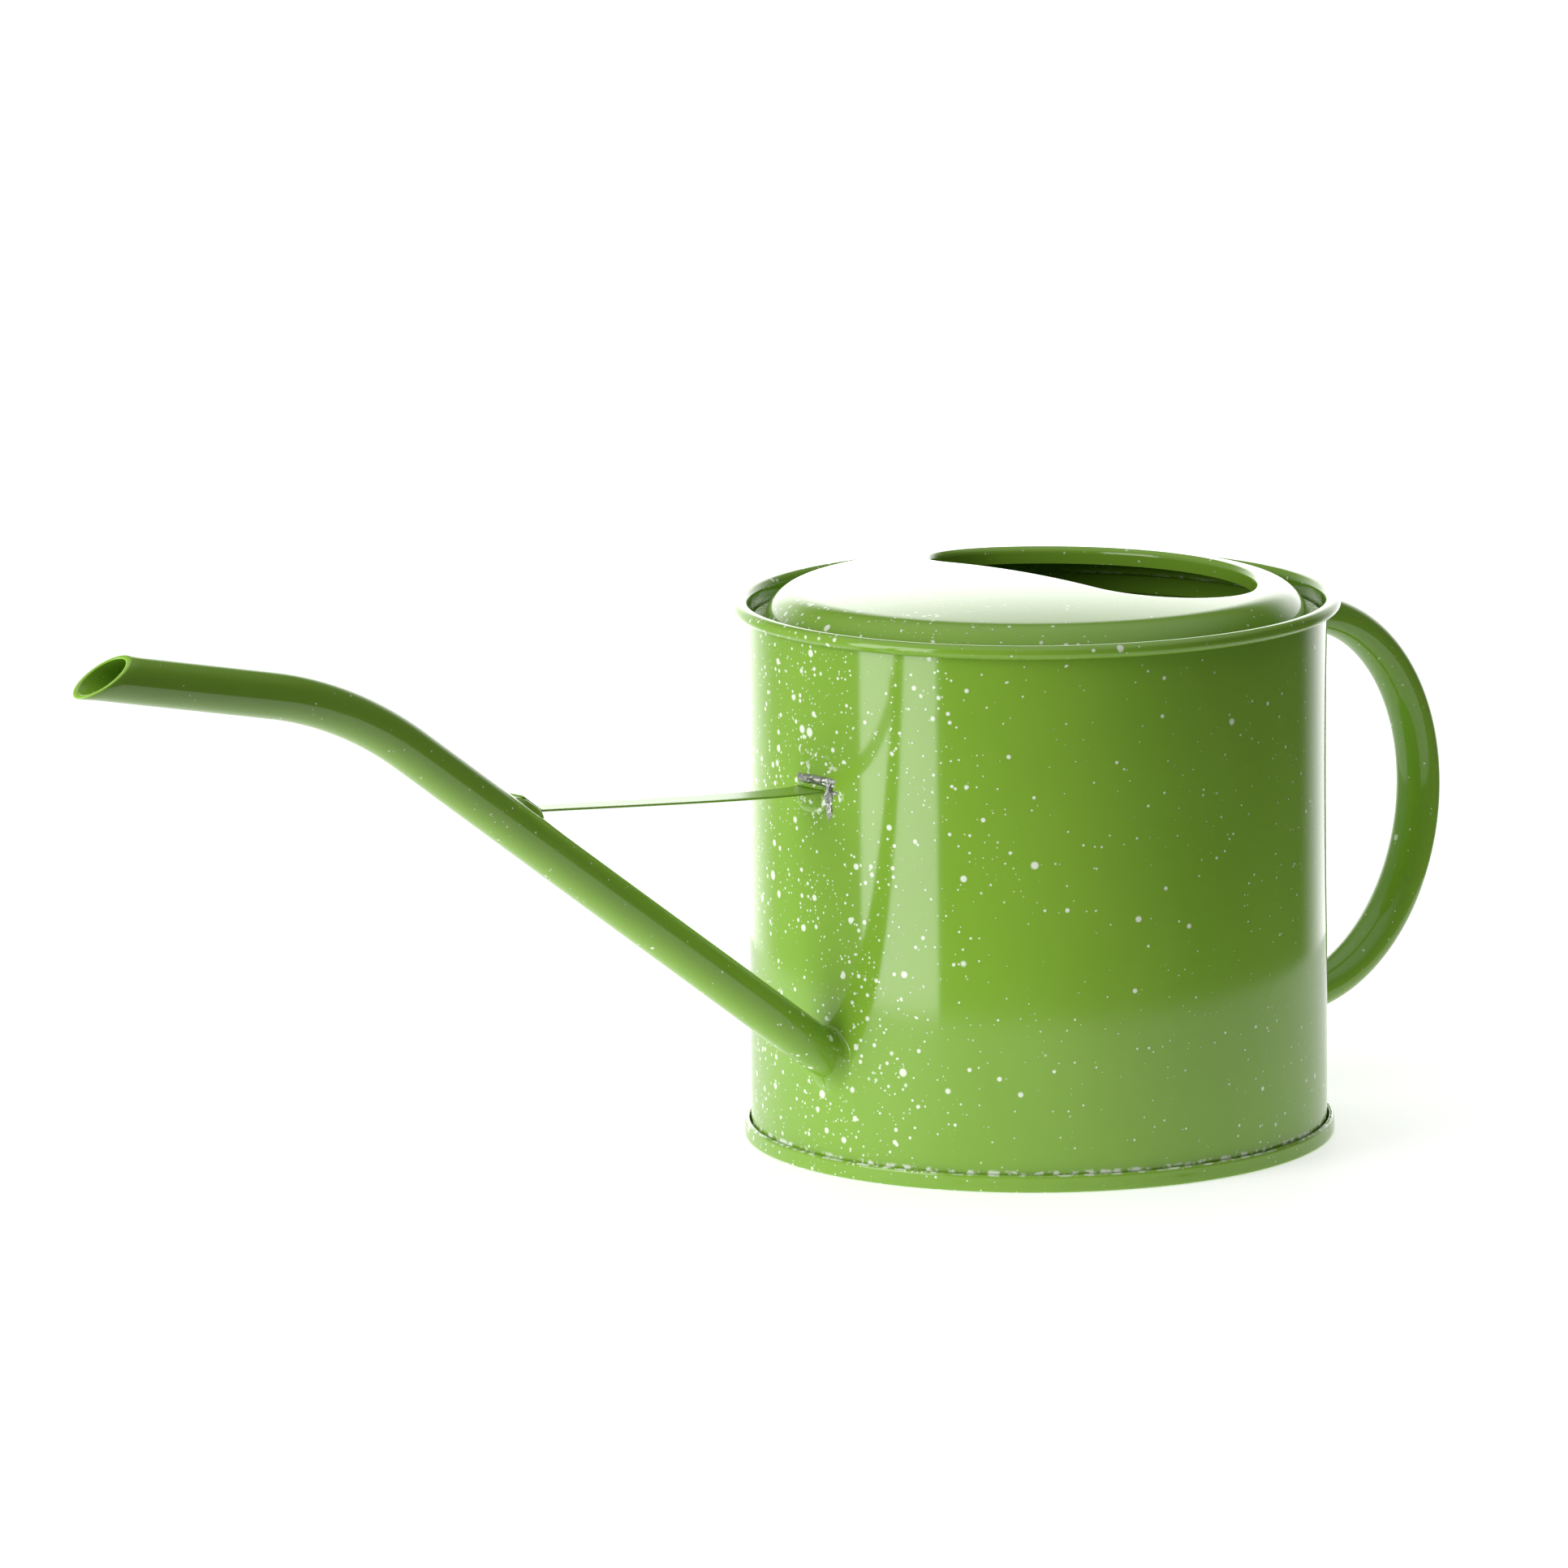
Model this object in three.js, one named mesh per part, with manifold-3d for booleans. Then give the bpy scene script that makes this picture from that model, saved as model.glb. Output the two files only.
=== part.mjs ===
// Indoor watering can of painted sheet steel: a round body with a folded base seam and a rolled
// rim, a soldered-in domed cover with a half-moon filling mouth, a long bent spout held by a flat
// stay, and a loop handle of oval tube. All pieces are joined for good; nothing moves.
// Millimetres, +Z up, origin on the table under the middle of the body. The spout points to -X
// and the handle to +X, both in the plane y = 0.
import * as THREE from "three";
import { mergeVertices } from "three/addons/utils/BufferGeometryUtils.js";
import Module from "manifold-3d";

// ---- driving dimensions -------------------------------------------------------------------
const SHEET = 0.5; // thickness of the steel sheet
const GAP = 0.3; // clearance between separate pieces that touch in the real can

const BODY_RADIUS = 65; // outer face of the wall
const BODY_HEIGHT = 122; // table to the top of the rim
const RIM_BEAD = 3.1; // diameter of the rolled rim
const LAP_WIDTH = 6; // soldered overlap of the rolled wall, behind the handle

const SEAM_HEIGHT = 4; // folded base seam
const SEAM_PROUD = 1.65; // how far the seam stands out from the wall
const BASE_BEAD_RADIUS = 42; // stiffening ring pressed into the base plate
const BASE_BEAD_WIDTH = 7;
const BASE_BEAD_RISE = 1.5;

const GUTTER_DROP = 4.2; // rim top down to the flat ring between rim and dome
const GUTTER_WIDTH = 3.5;
const COVER_RISE = 10.2; // dome crown above the flat ring
const CROWN_RADIUS = 430; // nearly flat crown
const SHOULDER_RADIUS = 9;
const SKIRT_DEPTH = 5; // cover's edge, turned down inside the wall

const MOUTH_EDGE_X = -3.5; // straight edge of the filling mouth
const MOUTH_MARGIN = 11.6; // ring of cover left outside the mouth's curved edge
const MOUTH_CORNER = 20; // corner radius of the mouth
const MOUTH_TURN_DEG = -2; // the cover is soldered in slightly turned
const LIP_DEPTH = 3.7; // edge of the mouth, turned down

const SPOUT_RADIUS = 5.1;
const SPOUT_WALL = 1;
const SPOUT_ROOT_Z = 26.1; // where the spout's axis meets the wall
const SPOUT_ANGLE_DEG = 35.1; // rise of the lower run
const SPOUT_RUN = 148.5; // length of the lower run
const SPOUT_BEND_RADIUS = 104.5;
const SPOUT_TIP_ANGLE_DEG = 12; // rise of the tip run
const SPOUT_TIP = 46.6; // length of the tip run to the middle of the slanted mouth
const SPOUT_MOUTH_SLANT = 11.7; // how far the lower lip leads the upper one
const SPOUT_SOLDER = 3; // width of the fillet round the spout's root
const SPOUT_SOLDER_LENGTH = 5;

const STAY_WALL_Z = 86; // height of the stay's wall end
const STAY_WALL_WIDTH = 9.4;
const STAY_WALL_OFFSET = 5.7; // the wall end sits off the middle plane
const STAY_SPOUT_WIDTH = 6.4;
const STAY_SPOUT_OFFSET = 3; // and so does its foot on the spout
const STAY_ALONG_SPOUT = 107.7; // distance up the lower run to the bend in the stay
const STAY_FOOT = 6.6; // foot lying along the spout
const STAY_LIFT = 1.1; // solder bed under the foot
const STAY_SOLDER_SIDE = 1; // solder beside the foot
const STAY_SOLDER_HEEL = 1.6; // solder past the foot's near end
const STAY_SOLDER_TOE = 2.4; // and past its far end

const WALL_SOLDER_THICKNESS = 0.9;
const WALL_SOLDER_TOP = 3.3; // bare solder above the stay's middle line
const WALL_SOLDER_DROP = 5.5; // and the run below it, beside the stay
const WALL_SOLDER_RUN_WIDTH = 2.2;

const HANDLE_HALF_WIDTH = 5.7; // oval tube, half its size along Y
const HANDLE_HALF_DEPTH = 4.4; // and across the loop
const HANDLE_WALL = 1;
const HANDLE_REACH = 59.1; // wall to the middle of the grip
const HANDLE_LEG = 17.2; // straight leg at each end of the loop
const HANDLE_TOP_DROP = 14.3; // rim top to the upper leg's axis
const HANDLE_BOTTOM_Z = 18.5; // lower leg's axis
const HANDLE_WELD = 2.2; // width of the bead round each end
const HANDLE_WELD_LENGTH = 2.4;

const ROUND_STEPS = 64; // facets round the body
const TUBE_STEPS = 20; // facets round a tube

// ---- materials ----------------------------------------------------------------------------
const PAINT = { color: "#8ab84e", roughness: 0.2, metalness: 0 };
const BARE_SOLDER = { color: "#8d908a", roughness: 0.45, metalness: 1 };

// ---- worked-out sizes ---------------------------------------------------------------------
const rad = THREE.MathUtils.degToRad;
const WALL_INNER = BODY_RADIUS - SHEET;
const BEAD_RADIUS = RIM_BEAD / 2;
const BEAD_X = BODY_RADIUS + BEAD_RADIUS;
const BEAD_Z = BODY_HEIGHT - BEAD_RADIUS;
const WALL_FOOT_Z = SHEET + GAP;
const GUTTER_Z = BODY_HEIGHT - GUTTER_DROP;
const COVER_TOP_Z = GUTTER_Z + COVER_RISE;
const DOME_RADIUS = WALL_INNER - GUTTER_WIDTH;
const MOUTH_RADIUS = DOME_RADIUS - MOUTH_MARGIN;
const HANDLE_TOP_Z = BODY_HEIGHT - HANDLE_TOP_DROP;
const OUTSIDE_CLEAR = BODY_RADIUS + GAP;
const LAP_CLEAR = BODY_RADIUS + SHEET + GAP;

// ---- solids -------------------------------------------------------------------------------
const wasm = await Module();
wasm.setup();

/** Closed three.js geometry to a manifold solid. */
function toSolid(geometry) {
  const bare = geometry.clone();
  bare.deleteAttribute("normal");
  bare.deleteAttribute("uv");
  const merged = mergeVertices(bare, 1e-4);
  return new wasm.Manifold(
    new wasm.Mesh({
      numProp: 3,
      vertProperties: merged.attributes.position.array,
      triVerts: new Uint32Array(merged.index.array),
    }),
  );
}

/** Manifold solid to a named mesh. */
function toMesh(name, solid, finish) {
  const { vertProperties, triVerts } = solid.getMesh();
  const geometry = new THREE.BufferGeometry();
  geometry.setAttribute("position", new THREE.BufferAttribute(vertProperties, 3));
  geometry.setIndex(new THREE.BufferAttribute(triVerts, 1));
  geometry.computeVertexNormals();
  const mesh = new THREE.Mesh(geometry, new THREE.MeshStandardMaterial(finish));
  mesh.name = name;
  return mesh;
}

/** Points on an ellipse arc round (x, z), from one angle to another. */
function arc(x, z, rx, rz, fromDeg, toDeg, steps) {
  return Array.from({ length: steps + 1 }, (_, i) => {
    const a = rad(fromDeg + ((toDeg - fromDeg) * i) / steps);
    return new THREE.Vector2(x + rx * Math.cos(a), z + rz * Math.sin(a));
  });
}

/** Solid of revolution about +Z; the profile runs anticlockwise with radius right and z up. */
function revolve(profile) {
  return toSolid(new THREE.LatheGeometry(profile, ROUND_STEPS).rotateX(Math.PI / 2));
}

/** Closed ring profile: the last point joins the first. */
function ring(profile) {
  return revolve([...profile, profile[0].clone()]);
}

/** Flat outline in the XY plane, raised from one height to another. */
function prism(shape, bottom, top, curveSegments = 12) {
  const options = { depth: top - bottom, bevelEnabled: false, curveSegments };
  return toSolid(new THREE.ExtrudeGeometry(shape, options).translate(0, 0, bottom));
}

/** Outline drawn in the XZ plane, carried along Y from one side to the other. */
function sidePrism(shape, from, to, curveSegments = 12) {
  const options = { depth: to - from, bevelEnabled: false, curveSegments };
  const geometry = new THREE.ExtrudeGeometry(shape, options).rotateX(Math.PI / 2);
  return toSolid(geometry.translate(0, to, 0));
}

/** Outline drawn in the YZ plane, carried along X from one place to another. */
function frontPrism(shape, from, to) {
  const options = { depth: to - from, bevelEnabled: false };
  const geometry = new THREE.ExtrudeGeometry(shape, options);
  return toSolid(geometry.rotateX(Math.PI / 2).rotateZ(Math.PI / 2).translate(from, 0, 0));
}

/** Upright cylinder that stands for the body, to trim what ends on it. */
function bodyCore(radius) {
  const core = new THREE.CylinderGeometry(radius, radius, 2 * BODY_HEIGHT, ROUND_STEPS);
  return toSolid(core.rotateX(Math.PI / 2).translate(0, 0, BODY_HEIGHT / 2));
}

/** Cone or cylinder from one point to another. */
function rod(from, to, startRadius, endRadius, steps = TUBE_STEPS) {
  const along = to.clone().sub(from);
  const geometry = new THREE.CylinderGeometry(endRadius, startRadius, along.length(), steps);
  const turn = new THREE.Quaternion().setFromUnitVectors(
    new THREE.Vector3(0, 1, 0),
    along.clone().normalize(),
  );
  const middle = from.clone().add(to).multiplyScalar(0.5);
  return toSolid(geometry.applyQuaternion(turn).translate(middle.x, middle.y, middle.z));
}

/** Path through chosen stations; its parameter counts stations, not length. */
class StationPath extends THREE.Curve {
  constructor(stations) {
    super();
    this.stations = stations;
  }
  getPoint(t) {
    const place = THREE.MathUtils.clamp(t, 0, 1) * (this.stations.length - 1);
    const i = Math.min(Math.floor(place), this.stations.length - 2);
    return this.stations[i].clone().lerp(this.stations[i + 1], place - i);
  }
  getUtoTmapping(u) {
    return u;
  }
}

/** Oval tube or bar along stations in the XZ plane; halfWidth is along Y. */
function sweep(stations, halfWidth, halfDepth, wall = 0) {
  const section = new THREE.Shape().absellipse(0, 0, halfDepth, halfWidth, 0, 2 * Math.PI);
  if (wall > 0) {
    const bore = new THREE.Path();
    bore.absellipse(0, 0, halfDepth - wall, halfWidth - wall, 0, 2 * Math.PI, true);
    section.holes.push(bore);
  }
  const options = {
    steps: stations.length - 1,
    curveSegments: TUBE_STEPS / 2,
    extrudePath: new StationPath(stations),
  };
  return toSolid(new THREE.ExtrudeGeometry(section, options));
}

// ---- body wall ----------------------------------------------------------------------------

/** Rolled sheet with a curled rim, a soldered lap behind the handle and a hole for the spout. */
function bodyWall() {
  const curlEnd = -150;
  const cavity = BEAD_RADIUS - SHEET;
  const profile = [
    new THREE.Vector2(WALL_INNER, WALL_FOOT_Z),
    new THREE.Vector2(BODY_RADIUS, WALL_FOOT_Z),
    ...arc(BEAD_X, BEAD_Z, BEAD_RADIUS, cavity, 180, 90, 2),
    ...arc(BEAD_X, BEAD_Z, cavity, cavity, 90, curlEnd, 6).slice(1),
    ...arc(BEAD_X, BEAD_Z, BEAD_RADIUS, BEAD_RADIUS, curlEnd, 90, 9),
    ...arc(BEAD_X, BEAD_Z, BEAD_RADIUS + SHEET, BEAD_RADIUS, 90, 180, 3).slice(1),
  ];
  const bore = SPOUT_RADIUS - SPOUT_WALL;
  const hole = rod(spoutPoint(-2 * SPOUT_RADIUS), spoutPoint(2 * SPOUT_RADIUS), bore, bore);
  return ring(profile).add(lap()).subtract(hole);
}

/** Second layer of sheet where the rolled wall overlaps itself. */
function lap() {
  const half = Math.asin(LAP_WIDTH / 2 / BODY_RADIUS);
  const strip = new THREE.Shape();
  strip.absarc(0, 0, BODY_RADIUS + SHEET, -half, half, false);
  strip.absarc(0, 0, WALL_INNER + SHEET / 2, half, -half, true);
  return prism(strip, SEAM_HEIGHT + GAP, BEAD_Z - BEAD_RADIUS - GAP, 4);
}

// ---- base plate ---------------------------------------------------------------------------

/** Flat base with a pressed ring; its edge is folded up round the foot of the wall. */
function basePlate() {
  const outer = BODY_RADIUS + SEAM_PROUD;
  const inner = BODY_RADIUS + GAP;
  const fold = (outer - inner) / 2;
  const foldX = inner + fold;
  const foldZ = SEAM_HEIGHT - fold;
  const slot = fold - SHEET;
  const returnEnd = SHEET + 2 * GAP;
  const corner = SHEET;
  const bead = [-1, -0.5, 0.5, 1].map((s) => BASE_BEAD_RADIUS + (s * BASE_BEAD_WIDTH) / 2);
  const rise = [0, BASE_BEAD_RISE, BASE_BEAD_RISE, 0];
  const under = bead.map((r, i) => new THREE.Vector2(r, rise[i]));
  const over = under.map((p) => new THREE.Vector2(p.x, p.y + SHEET)).reverse();
  return revolve([
    new THREE.Vector2(0, 0),
    ...under,
    ...arc(outer - corner, corner, corner, corner, -90, 0, 2),
    ...arc(foldX, foldZ, fold, fold, 0, 180, 6),
    new THREE.Vector2(inner, returnEnd),
    new THREE.Vector2(foldX - slot, returnEnd),
    ...arc(foldX, foldZ, slot, slot, 180, 0, 2),
    new THREE.Vector2(foldX + slot, SHEET),
    ...over,
    new THREE.Vector2(0, SHEET),
  ]);
}

// ---- top cover ----------------------------------------------------------------------------

/** Dome profile from the flat ring to the axis, sunk below the outer face by inset. */
function domeProfile(inset) {
  const crown = CROWN_RADIUS - inset;
  const shoulder = SHOULDER_RADIUS - inset;
  const shoulderX = DOME_RADIUS - SHOULDER_RADIUS;
  const reach = CROWN_RADIUS - SHOULDER_RADIUS;
  const crownZ = COVER_TOP_Z - CROWN_RADIUS;
  const shoulderZ = crownZ + Math.sqrt(reach ** 2 - shoulderX ** 2);
  const meet = THREE.MathUtils.radToDeg(Math.acos(shoulderX / reach));
  const foot = Math.max(0, Math.asin(Math.min(1, (GUTTER_Z - inset - shoulderZ) / shoulder)));
  return [
    ...arc(shoulderX, shoulderZ, shoulder, shoulder, THREE.MathUtils.radToDeg(foot), meet, 6),
    ...arc(0, crownZ, crown, crown, meet, 90, 5).slice(1, -1),
    new THREE.Vector2(0, crownZ + crown),
  ];
}

/** Everything under the dome's face, down to a level below the lip. */
function domeBlock(inset, drop) {
  const floor = GUTTER_Z - 2 * LIP_DEPTH - drop;
  const dome = domeProfile(inset).map((p) => new THREE.Vector2(p.x, p.y - drop));
  return revolve([
    new THREE.Vector2(0, floor),
    new THREE.Vector2(dome[0].x, floor),
    ...dome,
  ]);
}

/** Half-moon outline: straight edge, two corner arcs and an arc concentric with the body. */
function mouthOutline(grow) {
  const edge = MOUTH_EDGE_X - grow;
  const radius = MOUTH_RADIUS + grow;
  const corner = MOUTH_CORNER + grow;
  const cornerX = edge + corner;
  const cornerY = Math.sqrt((radius - corner) ** 2 - cornerX ** 2);
  const sweepEnd = Math.atan2(cornerY, cornerX);
  const shape = new THREE.Shape();
  shape.moveTo(edge, cornerY);
  shape.lineTo(edge, -cornerY);
  shape.absarc(cornerX, -cornerY, corner, Math.PI, 2 * Math.PI - sweepEnd, false);
  shape.absarc(0, 0, radius, -sweepEnd, sweepEnd, false);
  shape.absarc(cornerX, cornerY, corner, sweepEnd, Math.PI, false);
  return shape;
}

/** Half-moon prism through the cover, turned as the cover is. */
function mouthPrism(grow) {
  const bottom = GUTTER_Z - 3 * LIP_DEPTH;
  const top = COVER_TOP_Z + LIP_DEPTH;
  return prism(mouthOutline(grow), bottom, top, 9).rotate([0, 0, MOUTH_TURN_DEG]);
}

/** Dome, flat ring and skirt in one sheet, with a half-moon mouth whose edge is turned down. */
function topCover() {
  const skirtOuter = WALL_INNER - GAP;
  const skirtInner = skirtOuter - SHEET;
  const face = domeProfile(0);
  const lining = domeProfile(SHEET).reverse();
  const shell = revolve([
    ...lining,
    new THREE.Vector2(lining[lining.length - 1].x, GUTTER_Z - SHEET),
    new THREE.Vector2(skirtInner, GUTTER_Z - SHEET),
    new THREE.Vector2(skirtInner, GUTTER_Z - SKIRT_DEPTH),
    new THREE.Vector2(skirtOuter, GUTTER_Z - SKIRT_DEPTH),
    new THREE.Vector2(skirtOuter, GUTTER_Z),
    new THREE.Vector2(face[0].x, GUTTER_Z),
    ...face,
  ]);
  const underFace = SHEET / 2;
  const band = domeBlock(underFace, 0).subtract(domeBlock(underFace, LIP_DEPTH));
  const lip = band.intersect(mouthPrism(SHEET));
  return shell.add(lip).subtract(mouthPrism(0));
}

// ---- spout --------------------------------------------------------------------------------

/** Direction in the XZ plane that rises towards -X at an angle. */
function heading(angle) {
  return new THREE.Vector3(-Math.cos(angle), 0, Math.sin(angle));
}

/** Direction square to a heading, on its upper side. */
function above(angle) {
  return new THREE.Vector3(Math.sin(angle), 0, Math.cos(angle));
}

/** Point on the spout's lower run, a distance along from the wall and a height above the axis. */
function spoutPoint(along, height = 0) {
  const angle = rad(SPOUT_ANGLE_DEG);
  return new THREE.Vector3(-BODY_RADIUS, 0, SPOUT_ROOT_Z)
    .addScaledVector(heading(angle), along)
    .addScaledVector(above(angle), height);
}

/** Long bent tube, trimmed to the wall and cut on a slant at its mouth. */
function spoutTube() {
  const low = rad(SPOUT_ANGLE_DEG);
  const tip = rad(SPOUT_TIP_ANGLE_DEG);
  const bendStart = spoutPoint(SPOUT_RUN);
  const centre = bendStart.clone().addScaledVector(above(low), -SPOUT_BEND_RADIUS);
  const bendSteps = 7;
  const bend = Array.from({ length: bendSteps + 1 }, (_, i) => {
    const angle = low + ((tip - low) * i) / bendSteps;
    return centre.clone().addScaledVector(above(angle), SPOUT_BEND_RADIUS);
  });
  const mouth = bend[bendSteps].clone().addScaledVector(heading(tip), SPOUT_TIP);
  const end = mouth.clone().addScaledVector(heading(tip), SPOUT_MOUTH_SLANT);
  const stations = [spoutPoint(-3 * SPOUT_RADIUS), ...bend, end];
  const cut = cutBeyond(mouth, tip + Math.atan2(SPOUT_MOUTH_SLANT, 2 * SPOUT_RADIUS));
  const tube = sweep(stations, SPOUT_RADIUS, SPOUT_RADIUS, SPOUT_WALL);
  return tube.subtract(cut).subtract(bodyCore(OUTSIDE_CLEAR));
}

/** Block that fills the space beyond a plane through a point, square to a heading. */
function cutBeyond(point, angle) {
  const size = 8 * SPOUT_RADIUS;
  const block = new THREE.BoxGeometry(size, size, size).translate(-size / 2, 0, 0);
  return toSolid(block.rotateY(angle).translate(point.x, point.y, point.z));
}

/** Soldered fillet that closes the corner between spout and wall. */
function spoutRootSolder() {
  const clear = SPOUT_RADIUS + GAP;
  const depth = 2 * SPOUT_RADIUS;
  const length = SPOUT_RADIUS + SPOUT_SOLDER_LENGTH;
  const tip = clear + GAP;
  const wide = tip + (SPOUT_SOLDER * (depth + length)) / length;
  const flare = rod(spoutPoint(-depth), spoutPoint(length), wide, tip);
  const tube = rod(spoutPoint(-3 * SPOUT_RADIUS), spoutPoint(4 * SPOUT_RADIUS), clear, clear);
  return flare.subtract(tube).subtract(bodyCore(OUTSIDE_CLEAR));
}

// ---- stay ---------------------------------------------------------------------------------

/** Outline of a bent strip: a centre line in the XZ plane, thickened with mitred corners. */
function ribbon(line, thickness) {
  const normals = line.slice(1).map((p, i) => {
    const d = p.clone().sub(line[i]).normalize();
    return new THREE.Vector2(-d.y, d.x);
  });
  const mitres = line.map((_, i) => {
    const a = normals[Math.max(i - 1, 0)];
    const b = normals[Math.min(i, normals.length - 1)];
    const sum = a.clone().add(b);
    return sum.multiplyScalar(thickness / sum.lengthSq());
  });
  const left = line.map((p, i) => p.clone().add(mitres[i]));
  const right = line.map((p, i) => p.clone().sub(mitres[i]));
  return new THREE.Shape([...right, ...left.reverse()]);
}

/** Flat strip from wall to spout, with a foot bent up along the spout. */
function stayStrap() {
  const height = SPOUT_RADIUS + STAY_LIFT + SHEET / 2;
  const toe = spoutPoint(STAY_ALONG_SPOUT + STAY_FOOT, height);
  const heel = spoutPoint(STAY_ALONG_SPOUT, height);
  const line = [toe, heel].map((p) => new THREE.Vector2(p.x, p.z));
  line.push(new THREE.Vector2(-WALL_INNER / 2, stayHeightAt(-WALL_INNER / 2, heel)));
  const side = STAY_WALL_OFFSET + STAY_WALL_WIDTH + STAY_SPOUT_WIDTH;
  const footNear = STAY_SPOUT_OFFSET - STAY_SPOUT_WIDTH / 2;
  const footFar = STAY_SPOUT_OFFSET + STAY_SPOUT_WIDTH / 2;
  const plan = new THREE.Shape([
    new THREE.Vector2(toe.x - SHEET, footNear),
    new THREE.Vector2(heel.x, footNear),
    new THREE.Vector2(-BODY_RADIUS, STAY_WALL_OFFSET - STAY_WALL_WIDTH / 2),
    new THREE.Vector2(-WALL_INNER / 2, STAY_WALL_OFFSET - STAY_WALL_WIDTH / 2),
    new THREE.Vector2(-WALL_INNER / 2, STAY_WALL_OFFSET + STAY_WALL_WIDTH / 2),
    new THREE.Vector2(-BODY_RADIUS, STAY_WALL_OFFSET + STAY_WALL_WIDTH / 2),
    new THREE.Vector2(heel.x, footFar),
    new THREE.Vector2(toe.x - SHEET, footFar),
  ]);
  const strip = sidePrism(ribbon(line, SHEET), -side, side);
  const outline = prism(plan, 0, BODY_HEIGHT + toe.z);
  return strip.intersect(outline).subtract(bodyCore(OUTSIDE_CLEAR));
}

/** Height of the stay's middle line at x, on the straight from its heel to the wall. */
function stayHeightAt(x, heel) {
  return STAY_WALL_Z + ((heel.z - STAY_WALL_Z) * (x + BODY_RADIUS)) / (heel.x + BODY_RADIUS);
}

/** Bed of solder under and beside the stay's foot. */
function staySpoutSolder() {
  const start = STAY_ALONG_SPOUT - STAY_SOLDER_HEEL;
  const end = STAY_ALONG_SPOUT + STAY_FOOT + STAY_SOLDER_TOE;
  const top = SPOUT_RADIUS + STAY_LIFT;
  const angle = rad(SPOUT_ANGLE_DEG);
  const outline = [
    [start - STAY_LIFT, 0.6 * SPOUT_RADIUS],
    [end + STAY_LIFT, 0.6 * SPOUT_RADIUS],
    [end - STAY_LIFT, top + SHEET],
    [STAY_ALONG_SPOUT, top + SHEET],
    [start, top - GAP],
  ].map(([along, height]) => {
    const p = spoutPoint(along, height);
    return new THREE.Vector2(p.x, p.z);
  });
  const slotHalf = STAY_SPOUT_WIDTH / 2 + GAP;
  const near = STAY_SPOUT_OFFSET - slotHalf - STAY_SOLDER_SIDE;
  const bed = sidePrism(new THREE.Shape(outline.reverse()), near, SPOUT_RADIUS);
  const clear = SPOUT_RADIUS + GAP;
  const spare = 2 * SPOUT_RADIUS;
  const tube = rod(spoutPoint(start - spare), spoutPoint(end + spare), clear, clear, 2 * TUBE_STEPS);
  const slotHeight = 4 * SHEET;
  const slotLength = 2 * STAY_FOOT;
  const slot = new THREE.BoxGeometry(slotLength, 2 * slotHalf, slotHeight);
  slot.translate(slotLength / 2, STAY_SPOUT_OFFSET, slotHeight / 2).rotateY(angle);
  const slotEnd = spoutPoint(STAY_ALONG_SPOUT + STAY_FOOT + GAP, top - GAP);
  return bed.subtract(tube).subtract(toSolid(slot.translate(slotEnd.x, 0, slotEnd.z)));
}

/** Bare solder on the wall: a bar above the stay and a run down beside it. */
function stayWallSolder() {
  const near = STAY_WALL_OFFSET - STAY_WALL_WIDTH / 2 - GAP;
  const runEdge = near - WALL_SOLDER_RUN_WIDTH;
  const far = STAY_WALL_OFFSET + STAY_WALL_WIDTH / 2;
  const top = STAY_WALL_Z + WALL_SOLDER_TOP;
  const ledge = STAY_WALL_Z + SHEET + GAP;
  const bottom = STAY_WALL_Z - WALL_SOLDER_DROP;
  const face = new THREE.Shape([
    new THREE.Vector2(runEdge, bottom),
    new THREE.Vector2(near, bottom),
    new THREE.Vector2(near, ledge),
    new THREE.Vector2(far, ledge),
    new THREE.Vector2(far, top),
    new THREE.Vector2(runEdge, top),
  ]);
  const front = frontPrism(face, -1.5 * BODY_RADIUS, -0.5 * BODY_RADIUS);
  const skin = bodyCore(OUTSIDE_CLEAR + WALL_SOLDER_THICKNESS);
  return front.intersect(skin).subtract(bodyCore(OUTSIDE_CLEAR));
}

// ---- handle -------------------------------------------------------------------------------

/** Loop of oval tube: two straight legs joined by half an ellipse. */
function handleStations() {
  const middle = (HANDLE_TOP_Z + HANDLE_BOTTOM_Z) / 2;
  const half = (HANDLE_TOP_Z - HANDLE_BOTTOM_Z) / 2;
  const legEnd = BODY_RADIUS + HANDLE_LEG;
  const loop = arc(legEnd, middle, HANDLE_REACH - HANDLE_LEG, half, 90, -90, 18);
  const inside = BODY_RADIUS - 2 * HANDLE_HALF_DEPTH;
  return [
    new THREE.Vector3(inside, 0, HANDLE_TOP_Z),
    ...loop.map((p) => new THREE.Vector3(p.x, 0, p.y)),
    new THREE.Vector3(inside, 0, HANDLE_BOTTOM_Z),
  ];
}

function handleTube() {
  const tube = sweep(handleStations(), HANDLE_HALF_WIDTH, HANDLE_HALF_DEPTH, HANDLE_WALL);
  return tube.subtract(bodyCore(LAP_CLEAR));
}

/** Weld bead round the end of a handle leg at height z. */
function handleWeld(z) {
  const inside = new THREE.Vector3(BODY_RADIUS - 2 * HANDLE_HALF_DEPTH, 0, z);
  const outside = new THREE.Vector3(BODY_RADIUS + HANDLE_LEG, 0, z);
  const leg = sweep([inside, outside], HANDLE_HALF_WIDTH + GAP, HANDLE_HALF_DEPTH + GAP);
  const collars = [
    [HANDLE_WELD_LENGTH / 3, HANDLE_WELD],
    [HANDLE_WELD_LENGTH, HANDLE_WELD / 2],
  ].map(([reach, grow]) => {
    const end = new THREE.Vector3(LAP_CLEAR + reach, 0, z);
    return sweep([inside, end], HANDLE_HALF_WIDTH + grow, HANDLE_HALF_DEPTH + grow);
  });
  return collars.reduce((a, b) => a.add(b)).subtract(leg).subtract(bodyCore(LAP_CLEAR));
}

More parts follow.
